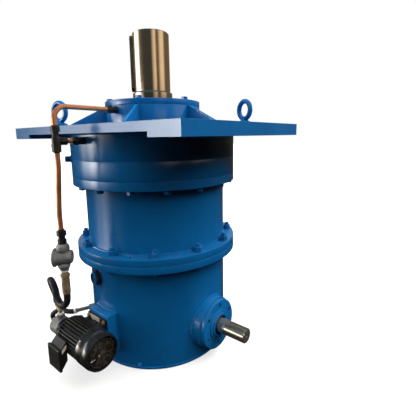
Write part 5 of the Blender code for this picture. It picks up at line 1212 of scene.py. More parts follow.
class REDUCER_OT_shaft_lid(ReducerOperator, Operator):
    """Add the lid of the boss with its bolts and the shaft's seal"""

    bl_idname = "reducer.shaft_lid"
    bl_label = "Shaft lid"

    def build(self, settings):
        size = settings.housing
        low = BOSS_TOP + SEAT
        recess = LID_TOP - 0.0203
        profile = [
            (size.boss, LID_TOP),
            (size.boss, low),
            (LID_BORE, low),
            (LID_BORE, recess),
            (SEAL_SEAT, recess),
            (SEAL_SEAT, LID_TOP),
        ]
        lid = Shape().lathe(rounded(profile, 0.003), 144)
        lid.painted("lid", stands_for=["shaft_lid"])
        bolts = Shape()
        flats = settings.fasteners.lid_flats
        for angle in spread(6):
            where = upright(*polar(LID_CIRCLE, angle, LID_TOP), angle)
            bolts.lathe(rounded(disc(0.0185, 0, 0.003), 0.001, 1), 32, where)
            bolts.hexagon(flats, 0.003, 0.015, where)
        bolts.painted("lid_bolts")
        seal = [
            (0.1290, 1.3580),
            (0.1290, LID_TOP - 0.020),
            (0.1096, LID_TOP - 0.020),
            (0.1096, 1.3490),
            (0.1120, 1.3560),
            (0.1160, 1.3580),
            (0.1180, 1.3560),
            (0.1260, 1.3560),
            (0.1270, 1.3580),
        ]
        Shape().lathe(seal, 128).piece("seal", "hose_rubber", "black_rubber", stands_for=["output_seal"])


class REDUCER_OT_output_shaft(ReducerOperator, Operator):
    """Add the output shaft with its flange, its driving pins and its key"""

    bl_idname = "reducer.output_shaft"
    bl_label = "Output shaft"

    def build(self, settings):
        size = settings.shafts
        radius, collar = size.output, size.collar
        profile = [
            (0, SHAFT_TOP - 0.012),
            (0.009, SHAFT_TOP - 0.008),
            (0.016, SHAFT_TOP),
            (radius - 0.004, SHAFT_TOP),
            (radius, SHAFT_TOP - 0.004),
            (radius, COLLAR_TOP + 0.006),
            (radius + 0.002, COLLAR_TOP + 0.002),
            (collar - 0.001, COLLAR_TOP),
            (collar, COLLAR_TOP - 0.002),
            (collar, BOSS_TOP),
            (UPPER_SEAT, BOSS_TOP - SEAT),
            (UPPER_SEAT, UPPER_SEAT_FOOT),
            (SHOULDER, UPPER_SEAT_FOOT),
            (SHOULDER, SHOULDER_FOOT),
            (LOWER_SEAT, SHOULDER_FOOT),
            (LOWER_SEAT, PIN_FLANGE_TOP),
            (PIN_FLANGE, PIN_FLANGE_TOP),
            (PIN_FLANGE, PIN_FLANGE_FOOT),
            (PILOT_BORE, PIN_FLANGE_FOOT),
            (PILOT_BORE, PILOT_ROOF),
            (0, PILOT_ROOF),
        ]
        shaft = Shape().lathe(profile, 144)
        keyway_place = radial(radius - 0.0122, KEY_ANGLE, KEY_MIDDLE)
        shaft.without(Shape().prism(self.keyway_outline(0.0226), -0.002, 0.040, keyway_place))
        for turn in spread(6, math.pi / 6):
            pin = rounded(disc(OUTPUT_PIN, OUTPUT_PIN_FOOT, PIN_FLANGE_FOOT + 0.0002), 0.001, 1)
            shaft.lathe(pin, 40, upright(*polar(OUTPUT_PIN_CIRCLE, turn)))
        shaft.piece(
            "turned_output_shaft", "output_shaft_steel", "bright_steel", "output", ["output_shaft"], sharp=25
        )
        key_place = radial(radius - 0.0140, KEY_ANGLE, KEY_MIDDLE)
        key = Shape().prism(self.keyway_outline(0.0224), 0.0, 0.0277, key_place)
        key.piece("parallel_key", "key_steel", "bright_steel", "output", ["output_key"], rounding=0.0015)

    @staticmethod
    def keyway_outline(half_width):
        """A slot with round ends, its long side upright."""
        reach = KEY_HALF_LENGTH - half_width
        turns = [*spread(40), 0.0]
        ends = ((turns[:21], reach), (turns[20:], -reach))
        return [
            (half_width * math.cos(angle), y + half_width * math.sin(angle))
            for angles, y in ends
            for angle in angles
        ]


class REDUCER_OT_input(ReducerOperator, Operator):
    """Add the input shaft, its stepped cover, the cover's screws and the seal"""

    bl_idname = "reducer.input"
    bl_label = "Input"

    def build(self, settings):
        size = settings.shafts
        radius, collar = size.input, size.input_collar
        profile = [
            (0, INPUT_END - 0.012),
            (0.0035, INPUT_END - 0.006),
            (0.0065, INPUT_END),
            (radius - 0.004, INPUT_END),
            (radius, INPUT_END - 0.004),
            (radius, INPUT_COLLAR_END + 0.004),
            (radius - 0.0025, INPUT_COLLAR_END + 0.0035),
            (radius - 0.0025, INPUT_COLLAR_END + 0.0005),
            (collar - 0.001, INPUT_COLLAR_END),
            (collar, INPUT_COLLAR_END - 0.001),
            (collar, PINION_SEAT_START),
            (0.0275, PINION_SEAT_START),
            (0.0275, 0.100),
            (0, 0.100),
        ]
        shaft = Shape().lathe(profile, 96, along_x(0, 0, INPUT_Z))
        start, half = 0.522, 0.010
        round_end = [(start + half * math.cos(a), half * math.sin(a)) for a in spread(24, math.pi / 2)[:13]]
        outline = [*round_end, (INPUT_END + 0.01, -half), (INPUT_END + 0.01, half)]
        top = INPUT_Z + radius
        shaft.without(Shape().prism(outline, top - 0.0075, top + 0.01))
        shaft.piece(
            "turned_input_shaft", "input_shaft_steel", "bright_steel", "input", ["input_shaft"], sharp=25
        )
        where = along_x(0, 0, INPUT_Z)
        cover_profile = [
            (0.062, COVER_FACE + 0.012),
            (0.062, COVER_FACE + 0.006),
            (0.072, COVER_FACE + 0.006),
            (0.0735, COVER_FACE + 0.0045),
            (0.080, COVER_FACE + 0.0045),
            (0.080, COVER_FACE),
            (0.128, COVER_FACE),
            (0.132, COVER_FACE - 0.004),
            (0.132, INPUT_BOSS_FACE + SEAT),
            (0.0425, INPUT_BOSS_FACE + SEAT),
            (0.0425, COVER_FACE - 0.008),
            (0.050, COVER_FACE - 0.008),
            (0.050, COVER_FACE + 0.012),
        ]
        cover = Shape().lathe(rounded(cover_profile, 0.0016), 112, where)
        places = [polar(SCREW_CIRCLE, angle + math.pi / 2) for angle in spread(6, SCREW_FIRST)]
        holes = Shape()
        screws = Shape()
        for place in places:
            at = where @ Matrix.Translation(place)
            holes.lathe(disc(0.0095, 0.434, 0.47), 28, at)
            screws.lathe(SOCKET_HEAD, 24, at)
        cover.without(holes)
        cover.painted("stepped_cover", stands_for=["input_cover"])
        screws.piece("cover_screws", "blackened_steel", "black_steel")
        boss_rim = Shape().round_bead(0.1345, INPUT_BOSS_FACE + 0.0005, 0.003, where)
        boss_rim.painted("cover_sealant")
        seal = [(0.0490, 0.4550), (0.0490, 0.4390), (0.0406, 0.4390), (0.0400, 0.4480), (0.0420, 0.4540)]
        lip_seal = Shape().lathe(seal, 96, where)
        lip_seal.piece("input_lip_seal", "hose_rubber", "black_rubber", stands_for=["input_seal"])


class REDUCER_OT_eye_bolts(ReducerOperator, Operator):
    """Add the two lifting eyes"""

    bl_idname = "reducer.eye_bolts"
    bl_label = "Eye bolts"

    def build(self, settings):
        base = PLATE_FOOT + settings.housing.plate_thick + SEAT
        for name, x, y, turn, node in (
            ("left_lifting_eye", -0.388, -0.345, math.radians(10), "left_eye_bolt"),
            ("right_lifting_eye", 0.388, 0.345, math.radians(-20), "right_eye_bolt"),
        ):
            where = upright(x, y, base, turn)
            collar = [
                (0, 0.050),
                (0.012, 0.048),
                (0.0165, 0.036),
                (0.021, 0.027),
                (0.030, 0.0215),
                (0.0355, 0.0185),
                (0.0375, 0.016),
                (0.0375, 0.002),
                (0.0360, 0),
                (0, 0),
            ]
            eye = Shape().lathe(collar, 48, where)
            ring = Shape()
            route = []
            for angle in spread(56):
                height = EYE_MIDDLE + EYE_RADIUS * math.sin(angle)
                route.append(where @ Vector((EYE_RADIUS * math.cos(angle), 0, height)))
            ring.sweep(route, EYE_WIRE, 18, closed=True)
            eye.joined(ring)
            eye.painted(name, stands_for=[node])


class REDUCER_OT_motor(ReducerOperator, Operator):
    """Add the pump motor: its finned frame, feet, shield, fan cover and terminal box"""

    bl_idname = "reducer.motor"
    bl_label = "Motor"

    def build(self, settings):
        size = settings.motor
        where = along_x(0, MOTOR_Y, MOTOR_Z)
        self.frame_piece(size, where)
        shield_profile = rounded(
            [
                (size.tip - 0.003, SHIELD_X),
                (size.tip - 0.003, SHIELD_X - 0.009),
                (0.062, DRIVE_X),
                (0.030, DRIVE_X),
                (0.030, SHIELD_X),
            ],
            0.002,
        )
        shield = Shape().lathe(shield_profile, 80, where)
        for angle in spread(4, math.pi / 4):
            lug = around(where, angle, 0.0775)
            shield.lathe(rounded(disc(0.0095, -0.1165, SHIELD_X), 0.0015, 2), 24, lug)
            shield.hexagon(0.010, 0.1160, 0.1215, lug @ TURNED_OVER)
        shield.piece("drive_end_shield", "black_enamel", "motor_black", stands_for=["motor_end_shield"])
        self.fan_cover(size, where)
        self.terminal_box()

    @staticmethod
    def frame_piece(size, where):
        outline = []
        step = 2 * math.pi / size.fins
        for angle in spread(size.fins):
            for radius, share in (
                (size.root, -0.36),
                (size.root + 0.0015, -0.22),
                (size.tip - 0.001, -0.15),
                (size.tip, -0.08),
                (size.tip, 0.08),
                (size.tip - 0.001, 0.15),
                (size.root + 0.0015, 0.22),
                (size.root, 0.36),
            ):
                point = polar(radius, angle + share * step)
                outline.append((point.x, point.y))
        frame_shape = Shape().prism(outline, SHIELD_X + SEAT, FRAME_END_X - 0.004, where)
        collar = rounded(disc(size.root + 0.009, 0.060, FRAME_END_X), 0.0015, 2)
        frame_shape.lathe(collar, 80, where)
        frame_shape.piece("finned_frame", "black_enamel", "motor_black", stands_for=["motor_frame"], sharp=30)
        face = BRACKET_LOW.y - SEAT
        feet = Shape()
        for side in (-1, 1):
            middle = MOTOR_Z + side * 0.070
            feet.box((-0.078, face - 0.011, middle - 0.018), (0.071, face, middle + 0.018))
            low, high = sorted((MOTOR_Z + side * 0.058, MOTOR_Z + side * 0.064))
            for x in (-0.076, -0.020, 0.036):
                feet.box((x, MOTOR_Y + 0.030, low - 0.004), (x + 0.033, face - 0.004, high))
            web_low, web_high = sorted((MOTOR_Z + side * 0.050, MOTOR_Z + side * 0.060))
            feet.box((-0.074, MOTOR_Y + 0.036, web_low), (0.067, face - 0.004, web_high))
        feet.piece("motor_feet", "black_enamel", "motor_black", rounding=0.002, sharp=40)
        bolts = Shape()
        for x in (-0.066, 0.059):
            for side in (-1, 1):
                at = along_minus_y(x, face - 0.011, MOTOR_Z + side * 0.075)
                bolts.lathe(disc(0.0115, 0, 0.002), 28, at)
                bolts.hexagon(0.016, 0.002, 0.010, at)
        bolts.piece("foot_bolts", "dull_brass", "brass")
        plate = Shape().box((-0.052, face - 0.0130, 0.2445), (0.024, face - 0.0108, 0.2735))
        plate.piece("blank_rating_plate", "bare_label", "bright_steel", rounding=0.0008)

    @staticmethod
    def fan_cover(size, where):
        end, low = MOTOR_END_X, FRAME_END_X + SEAT
        cover, lip, wall = size.cover, 0.080, 0.0022
        profile = [
            (lip - 0.003, end - 0.001),
            (lip, end),
            (lip + 0.003, end - 0.002),
            (cover - 0.0015, end - 0.017),
            (cover, end - 0.024),
            (cover, 0.1130),
            (cover - 0.0012, 0.1115),
            (cover - 0.0012, 0.1095),
            (cover, 0.1080),
            (cover, low),
            (cover - wall, low),
            (cover - wall, end - 0.026),
            (lip - 0.002, end - 0.006),
            (GRILLE_RADIUS, end - 0.006),
            (GRILLE_RADIUS, end - 0.0035),
            (0.0765, end - 0.0030),
        ]
        shell = Shape().lathe(profile, 112, where)
        shell.piece("fan_cover", "cover_enamel", "motor_black", stands_for=["motor_fan_cover"], sharp=45)
        grille = Shape()
        middle = end - 0.0052
        span = GRILLE_RADIUS - HUB_RADIUS
        for ring in range(size.grille_rings):
            radius = HUB_RADIUS + span * ring / size.grille_rings
            circle = [where @ polar(radius, angle, middle) for angle in spread(max(24, round(radius * 900)))]
            grille.sweep(circle, 0.0017, 6, closed=True)
        for angle in spread(12, math.pi / 12):
            route = [where @ polar(0.013, angle, middle), where @ polar(0.0745, angle, middle)]
            grille.sweep(route, 0.0013, 6)
        hub = [(0, end - 0.0028), (0.013, end - 0.0034), (0.0145, end - 0.0062), (0, end - 0.0062)]
        grille.lathe(hub, 32, where)
        grille.piece("grille", "grille_wire", "motor_black")
        screws = Shape()
        for angle in spread(4, math.pi / 4):
            at = around(where, angle, cover - 0.0006, 0.082) @ Matrix.Rotation(math.pi / 2, 4, "Y")
            screws.lathe([(0, 0.0022), (0.003, 0.0018), (0.0042, 0), (0, 0)], 20, at)
        screws.piece("fan_cover_screws", "ground_steel", "bright_steel")

    @staticmethod
    def terminal_box():
        frame_y = MOTOR_Y - 0.085 - SEAT
        lid_y = TERMINAL_FACE_Y + 0.014 + SEAT
        side = along_x(-0.050, 0, 0)
        outline = [(-0.128, frame_y), (-0.226, frame_y), (-0.196, lid_y), (-0.092, lid_y)]
        box = Shape().prism(outline, -0.050, 0.050, side)
        box.piece(
            "terminal_body",
            "black_enamel",
            "motor_black",
            stands_for=["terminal_box"],
            rounding=0.005,
            sharp=40,
        )
        low, high = (-0.104, TERMINAL_FACE_Y + 0.0002, 0.088), (0.004, TERMINAL_FACE_Y + 0.014, 0.200)
        lid = Shape().box(low, high)
        lid.piece(
            "terminal_cover", "black_enamel", "motor_black", stands_for=["terminal_lid"], rounding=0.004
        )
        screws = Shape()
        for x in (-0.095, -0.005):
            for z in (0.097, 0.191):
                at = along_minus_y(x, -0.6535, z)
                screws.lathe([(0, 0.0012), (0.0030, 0.0010), (0.0042, 0), (0, 0)], 20, at)
        screws.piece("terminal_screws", "ground_steel", "bright_steel")
        edge = [(-0.2115, -0.6150), (-0.1915, -0.6375), (-0.1735, -0.6375), (-0.1935, -0.6150)]
        label = Shape().prism(edge, -0.0008, 0.0008, along_x(0.0002, 0, 0))
        label.piece("blank_terminal_label", "bare_label", "bright_steel")


class REDUCER_OT_pump(ReducerOperator, Operator):
    """Add the oil pump on the motor's drive end"""

    bl_idname = "reducer.pump"
    bl_label = "Pump"

    def build(self, settings):
        where = along_x(0, MOTOR_Y, MOTOR_Z)
        high, low = DRIVE_X - SEAT, PUMP_FACE_X + SEAT
        profile = [
            (0.062, high),
            (0.062, high - 0.010),
            (0.044, high - 0.012),
            (0.040, high - 0.018),
            (0.040, low + 0.018),
            (0.043, low + 0.011),
            (0.048, low + 0.010),
            (0.048, low),
            (0.026, low),
            (0.026, high),
        ]
        adapter = Shape().lathe(rounded(profile, 0.0015, 2), 72, where)
        for angle in spread(4, math.pi / 4):
            at = around(where, angle, 0.053, high - 0.010)
            adapter.hexagon(0.013, 0.0, 0.007, at @ TURNED_OVER)
        adapter.piece("pump_lantern", "black_enamel", "motor_black", stands_for=["pump_adapter"])
        pump_place = along_x(0, MOTOR_Y, PUMP_AXIS_Z)
        body_high, body_low = PUMP_FACE_X, PUMP_COVER_X + SEAT
        outer = rounded(disc(0.048, body_low, body_high), 0.002)
        body = Shape().lathe(outer, 72, pump_place)
        port_place = upright(PORT_X, MOTOR_Y, MOTOR_Z)
        port = Shape().lathe(rounded(disc(0.020, 0, PORT_HEIGHT), 0.002), 40, port_place)
        body.joined(port)
        rooms = [
            Shape().lathe(disc(0.0197, -0.24, -0.192), 48, along_x(0, MOTOR_Y, z))
            for z in (MOTOR_Z, MOTOR_Z - 0.032)
        ]
        body.without(*rooms)
        body.piece("pump_casting", "grey_casting", "cast_iron", stands_for=["pump_body"])
        cover_high = PUMP_COVER_X - SEAT
        cover_profile = [
            (0, cover_high),
            (0.048, cover_high),
            (0.048, cover_high - 0.014),
            (0.034, PUMP_END_X),
            (0, PUMP_END_X),
        ]
        cover = Shape().lathe(rounded(cover_profile, 0.003), 72, pump_place)
        for angle in spread(6, math.pi / 6):
            at = around(pump_place, angle, 0.040, cover_high - 0.013)
            cover.hexagon(0.010, 0.0, 0.008, at @ TURNED_OVER)
        cover.piece("pump_cover", "grey_casting", "cast_iron", stands_for=["pump_end_cover"])


def fitting(name, length, node, where, size):
    """A compression fitting: a screwed-in hexagon, a waist and a union nut."""
    flats = size * math.sqrt(3)
    made = Shape().hexagon(flats * 0.92, 0.0, length * 0.34, where)
    waist = rounded(disc(size * 0.70, length * 0.30, length * 0.62), 0.001, 1)
    made.lathe(waist, 36, where)
    made.hexagon(flats, length * 0.56, length * 0.92, where)
    neck = [(0, length), (size * 0.62, length), (size * 0.72, length * 0.90), (0, length * 0.90)]
    made.lathe(neck, 36, where)
    made.piece(name, "blackened_steel", "black_steel", stands_for=[node])


class REDUCER_OT_oil_lines(ReducerOperator, Operator):
    """Add the copper pipes with their black fittings"""

    bl_idname = "reducer.oil_lines"
    bl_label = "Oil lines"

    def build(self, settings):
        size = settings.lines
        boss_face = -(settings.housing.boss + SEAT)
        drum_face = -(settings.housing.drum + SEAT)
        nut = size.fitting
        boss_place = along_minus_y(LINE_X, boss_face, BOSS_LINE_Z)
        fitting("boss_union", BOSS_UNION_LENGTH, "boss_fitting", boss_place, nut)
        drum_place = along_minus_y(LINE_X, drum_face, TEE_Z)
        fitting("drum_union", DRUM_UNION_LENGTH, "drum_fitting", drum_place, nut)
        bend = 0.055
        corner = [
            (LINE_X, LINE_Y + bend - bend * math.sin(a), BOSS_LINE_Z - bend + bend * math.cos(a))
            for a in (math.pi / 2 * step / 16 for step in range(17))
        ]
        start_y = boss_face - BOSS_UNION_LENGTH - SEAT
        route = [(LINE_X, start_y, BOSS_LINE_Z), *corner, (LINE_X, LINE_Y, TEE_Z + TEE_UP + SEAT)]
        line("boss_tube", route, size.copper, "copper_tube", "copper", ["boss_pipe"])
        self.tee(nut)
        drum_route = [
            (LINE_X, LINE_Y + TEE_SIDE + SEAT, TEE_Z),
            (LINE_X, drum_face - DRUM_UNION_LENGTH - SEAT, TEE_Z),
        ]
        line("drum_tube", drum_route, size.copper * 0.9, "copper_tube", "copper", ["drum_pipe"])
        riser = smooth_route(
            [
                (LINE_X, LINE_Y, TEE_Z - TEE_DOWN - SEAT),
                (LINE_X, LINE_Y, 1.040),
                (INDICATOR.x, INDICATOR.y, 0.860),
                (INDICATOR.x, INDICATOR.y, RISER_FOOT + SEAT),
            ],
            0.02,
        )
        line("riser_tube", riser, size.copper, "copper_tube", "copper", ["riser_pipe"])
        top = INDICATOR + Vector((0, 0, INDICATOR_HALF))
        fitting("riser_union", RISER_FOOT - top.z, "riser_fitting", upright(*top), nut)

    @staticmethod
    def tee(nut):
        flats = nut * math.sqrt(3)
        centre = upright(LINE_X, LINE_Y, TEE_Z)
        to_drum = centre @ Matrix.Rotation(-math.pi / 2, 4, "X")
        down = centre @ TURNED_OVER
        elbow = rounded(disc(nut * 0.80, -0.018, 0.020), 0.004)
        made = Shape().lathe(elbow, 36, centre)
        arms = ((centre, 0.040, TEE_UP), (to_drum, 0.022, TEE_SIDE), (down, 0.012, TEE_DOWN))
        for where, nut_foot, reach in arms:
            made.lathe(disc(nut * 0.66, 0, reach * 0.8), 36, where)
            made.hexagon(flats * 0.92, nut_foot, reach - 0.003, where)
            lip = [(0, reach), (nut * 0.60, reach), (nut * 0.68, reach - 0.005), (0, reach - 0.005)]
            made.lathe(lip, 36, where)
        made.piece("tee_union", "blackened_steel", "black_steel", stands_for=["pipe_tee"])


class REDUCER_OT_flow_indicator(ReducerOperator, Operator):
    """Add the cast flow indicator with its round window"""

    bl_idname = "reducer.flow_indicator"
    bl_label = "Flow indicator"

    def build(self, settings):
        where = upright(*INDICATOR)
        passage = [
            (0, 0.064),
            (0.020, 0.064),
            (0.0285, 0.053),
            (0.030, 0.038),
            (0.023, 0.022),
            (0.022, -0.020),
            (0.028, -0.040),
            (0.018, -0.062),
            (0.016, -0.064),
            (0, -0.064),
        ]
        body = Shape().lathe(rounded(passage, 0.004), 48, where)
        across = [
            (0, 0.040),
            (0.026, 0.040),
            (0.031, 0.034),
            (0.034, 0.010),
            (0.037, -0.030),
            (0.043, -0.034),
            (0.043, -0.042),
            (0, -0.042),
        ]
        facing = Matrix.Rotation(INDICATOR_TURN + math.pi / 2, 4, "Z") @ QUARTER_TURN
        lying = Matrix.Translation(INDICATOR) @ facing
        body.joined(Shape().lathe(rounded(across, 0.003), 56, lying))
        recess = [(0, -0.028), (0.0355, -0.028), (0.0385, -0.060), (0, -0.060)]
        body.without(Shape().lathe(recess, 48, lying))
        body.piece("indicator_casting", "grey_casting", "cast_iron", stands_for=["flow_indicator"], sharp=38)
        pane = rounded([(0, -0.0284), (0.0350, -0.0284), (0.0350, -0.0405), (0, -0.0435)], 0.0008, 1)
        window = Shape().lathe(pane, 48, lying)
        window.piece("indicator_pane", "sight_glass", "sight_glass", stands_for=["indicator_glass"])
        seal = [(0.0352, -0.0395), (0.0362, -0.0445), (0.0320, -0.0455), (0.0320, -0.0445)]
        ring = Shape().lathe(rounded(seal, 0.0006, 1), 48, lying)
        ring.piece("pane_ring", "blackened_steel", "black_steel")
        wrap = Shape().lathe(rounded(disc(0.0165, 0.0625, 0.0668), 0.001, 1), 40, where)
        wrap.lathe(rounded(disc(0.0185, -0.0690, -0.061), 0.001, 1), 40, where)
        wrap.piece("indicator_tape", "thread_tape", "black_rubber")


class REDUCER_OT_hoses(ReducerOperator, Operator):
    """Add the hoses with their ends, and the pump's pipes"""

    bl_idname = "reducer.hoses"
    bl_label = "Hoses"

    def build(self, settings):
        size = settings.lines
        foot = INDICATOR.z - INDICATOR_HALF - FERRULE_LENGTH
        place = upright(INDICATOR.x, INDICATOR.y, foot)
        ferrule = Shape().hexagon(0.036, 0.080, 0.098, place)
        ferrule.lathe(rounded(disc(0.0145, 0.095, FERRULE_LENGTH), 0.001, 1), 36, place)
        sleeve = [(0, 0.082), (0.0170, 0.082), (0.0178, 0.074), (0.0172, 0.068)]
        for ridge in range(4):
            z = 0.060 - 0.016 * ridge
            sleeve += [(0.0186, z), (0.0186, z - 0.005), (0.0176, z - 0.008)]
        ferrule.lathe([*sleeve, (0.0180, 0), (0, 0)], 40, place)
        ferrule.piece("pressed_ferrule", "dull_brass", "brass", stands_for=["hose_ferrule"])
        points = [
            (INDICATOR.x, INDICATOR.y, foot - SEAT),
            (INDICATOR.x, INDICATOR.y, 0.438),
            (-0.016, -0.583, 0.412),
            (-0.040, -0.583, 0.386),
            (-0.080, -0.583, 0.376),
            (-0.112, -0.583, 0.400),
            (-0.124, -0.583, 0.440),
            (-0.160, -0.578, 0.468),
            (-0.215, -0.562, 0.455),
            (-0.246, -0.540, 0.400),
            (HOSE_FOOT_X, -0.526, 0.350),
            (HOSE_FOOT_X, MOTOR_Y, 0.328),
            (HOSE_FOOT_X, MOTOR_Y, HOSE_FOOT_Z),
        ]
        route = smooth_route(points, 0.012)
        hose = line("pressure_line", route, size.hose, "hose_rubber", "black_rubber", ["pressure_hose"])
        declare(hose, route)
        port_top = MOTOR_Z + PORT_HEIGHT
        outlet = smooth_route(
            [
                (PORT_X, MOTOR_Y, port_top + SEAT),
                (PORT_X, MOTOR_Y, port_top + 0.012),
                (HOSE_FOOT_X, MOTOR_Y, 0.290),
                (HOSE_FOOT_X, MOTOR_Y, HOSE_FOOT_Z - SEAT),
            ],
            0.006,
        )
        line("outlet_tube", outlet, 0.0095, "dull_brass", "brass", ["pump_outlet_pipe"])
        tape = rounded([(0, 0.0085), (0.0150, 0.0085), (0.0165, 0), (0, 0)], 0.001, 1)
        wrap = Shape().lathe(tape, 32, upright(PORT_X, MOTOR_Y, port_top))
        wrap.piece("port_tape", "thread_tape", "black_rubber")
        suction = [
            (-0.195, -0.455, 0.2395),
            (-0.205, -0.465, 0.2368),
            (-0.228, -0.479, 0.2360),
            (-0.262, -0.490, 0.2360),
            (-0.292, -0.508, 0.2290),
            (-0.308, -0.523, 0.2150),
            (INLET_X, MOTOR_Y, 0.2060),
            (INLET_X, MOTOR_Y, SUCTION_FOOT_Z),
        ]
        route = smooth_route(suction, 0.012)
        hose = line("suction_line", route, size.suction, "hose_rubber", "black_rubber", ["suction_hose"])
        declare(hose, route)
        elbow = [
            (INLET_X, MOTOR_Y, SUCTION_FOOT_Z - SEAT),
            (INLET_X, MOTOR_Y, 0.186),
            (-0.304, MOTOR_Y, 0.178),
            (-0.294, MOTOR_Y, INLET_Z),
            (PUMP_END_X - SEAT, MOTOR_Y, INLET_Z),
        ]
        line("suction_elbow", smooth_route(elbow, 0.004), 0.0112, "dull_brass", "brass", ["inlet_elbow"])
        nuts = Shape().hexagon(0.026, 0.0, 0.012, along_x(PUMP_END_X - 0.014, MOTOR_Y, INLET_Z))
        nuts.piece("elbow_nut", "dull_brass", "brass")
        self.steel_pipe(Vector(suction[0]))

    @staticmethod
    def steel_pipe(start):
        """The steel pipe from the hose to the union on the housing."""
        port = polar(0.390, SUCTION_PORT_ANGLE, SUCTION_PORT_Z)
        inward = (port - start).normalized()
        where = Matrix.Translation(start) @ inward.to_track_quat("Z", "Y").to_matrix().to_4x4()
        tilt = inward.angle(-polar(1, SUCTION_PORT_ANGLE))
        reach = (port - start).length - 0.017 * math.tan(tilt) - SEAT
        pipe = [
            (0, reach - 0.02),
            (0.0095, reach - 0.02),
            (0.0095, 0.010),
            (0.0125, 0.009),
            (0.0125, SEAT),
            (0, SEAT),
        ]
        made = Shape().lathe(rounded(pipe, 0.0008, 1), 36, where)
        made.hexagon(0.029, reach - 0.028, reach, where @ Matrix.Rotation(0.3, 4, "Z"))
        made.piece("suction_tube", "dull_steel", "bright_steel", stands_for=["suction_pipe"])
        band = Shape().lathe(rounded(disc(0.0150, -0.003, 0.0085), 0.001, 1), 32, where)
        band.piece("suction_ferrule", "thread_tape", "black_rubber")


def declare(hose, route):
    """Adds up the length of a hose's route, and keeps nothing."""
    total = sum((b - a).length for a, b in zip(route, route[1:]))
    tuple(route[0])


class REDUCER_OT_plugs(ReducerOperator, Operator):
    """Add the drum, drain and level plugs"""

    bl_idname = "reducer.plugs"
    bl_label = "Plugs"

    def build(self, settings):
        size = settings.housing
        for name, node, wall, degrees, z, radius, proud, flats in (
            ("drum_port_plug", "drum_plug", size.drum, -124, 1.0625, 0.018, 0.032, 0.030),
            ("drain_port_plug", "drain_plug", size.column, -60.5, 0.026, 0.010, 0.018, 0.014),
        ):
            where = radial(wall - 0.002, math.radians(degrees), z)
            made = Shape().lathe(rounded(disc(radius, 0, 0.008), 0.0015, 2), 40, where)
            made.hexagon(flats, 0.007, proud + 0.001, where)
            made.painted(name, stands_for=[node])
        where = radial(LEVEL_SEAT, LEVEL_ANGLE, LEVEL_Z)
        plug = Shape().lathe(rounded(disc(0.0240, 0, 0.010), 0.001, 1), 40, where)
        plug.hexagon(0.022, 0.009, 0.0155, where)
        plug.piece("level_port_plug", "blackened_steel", "black_steel", stands_for=["level_plug"])


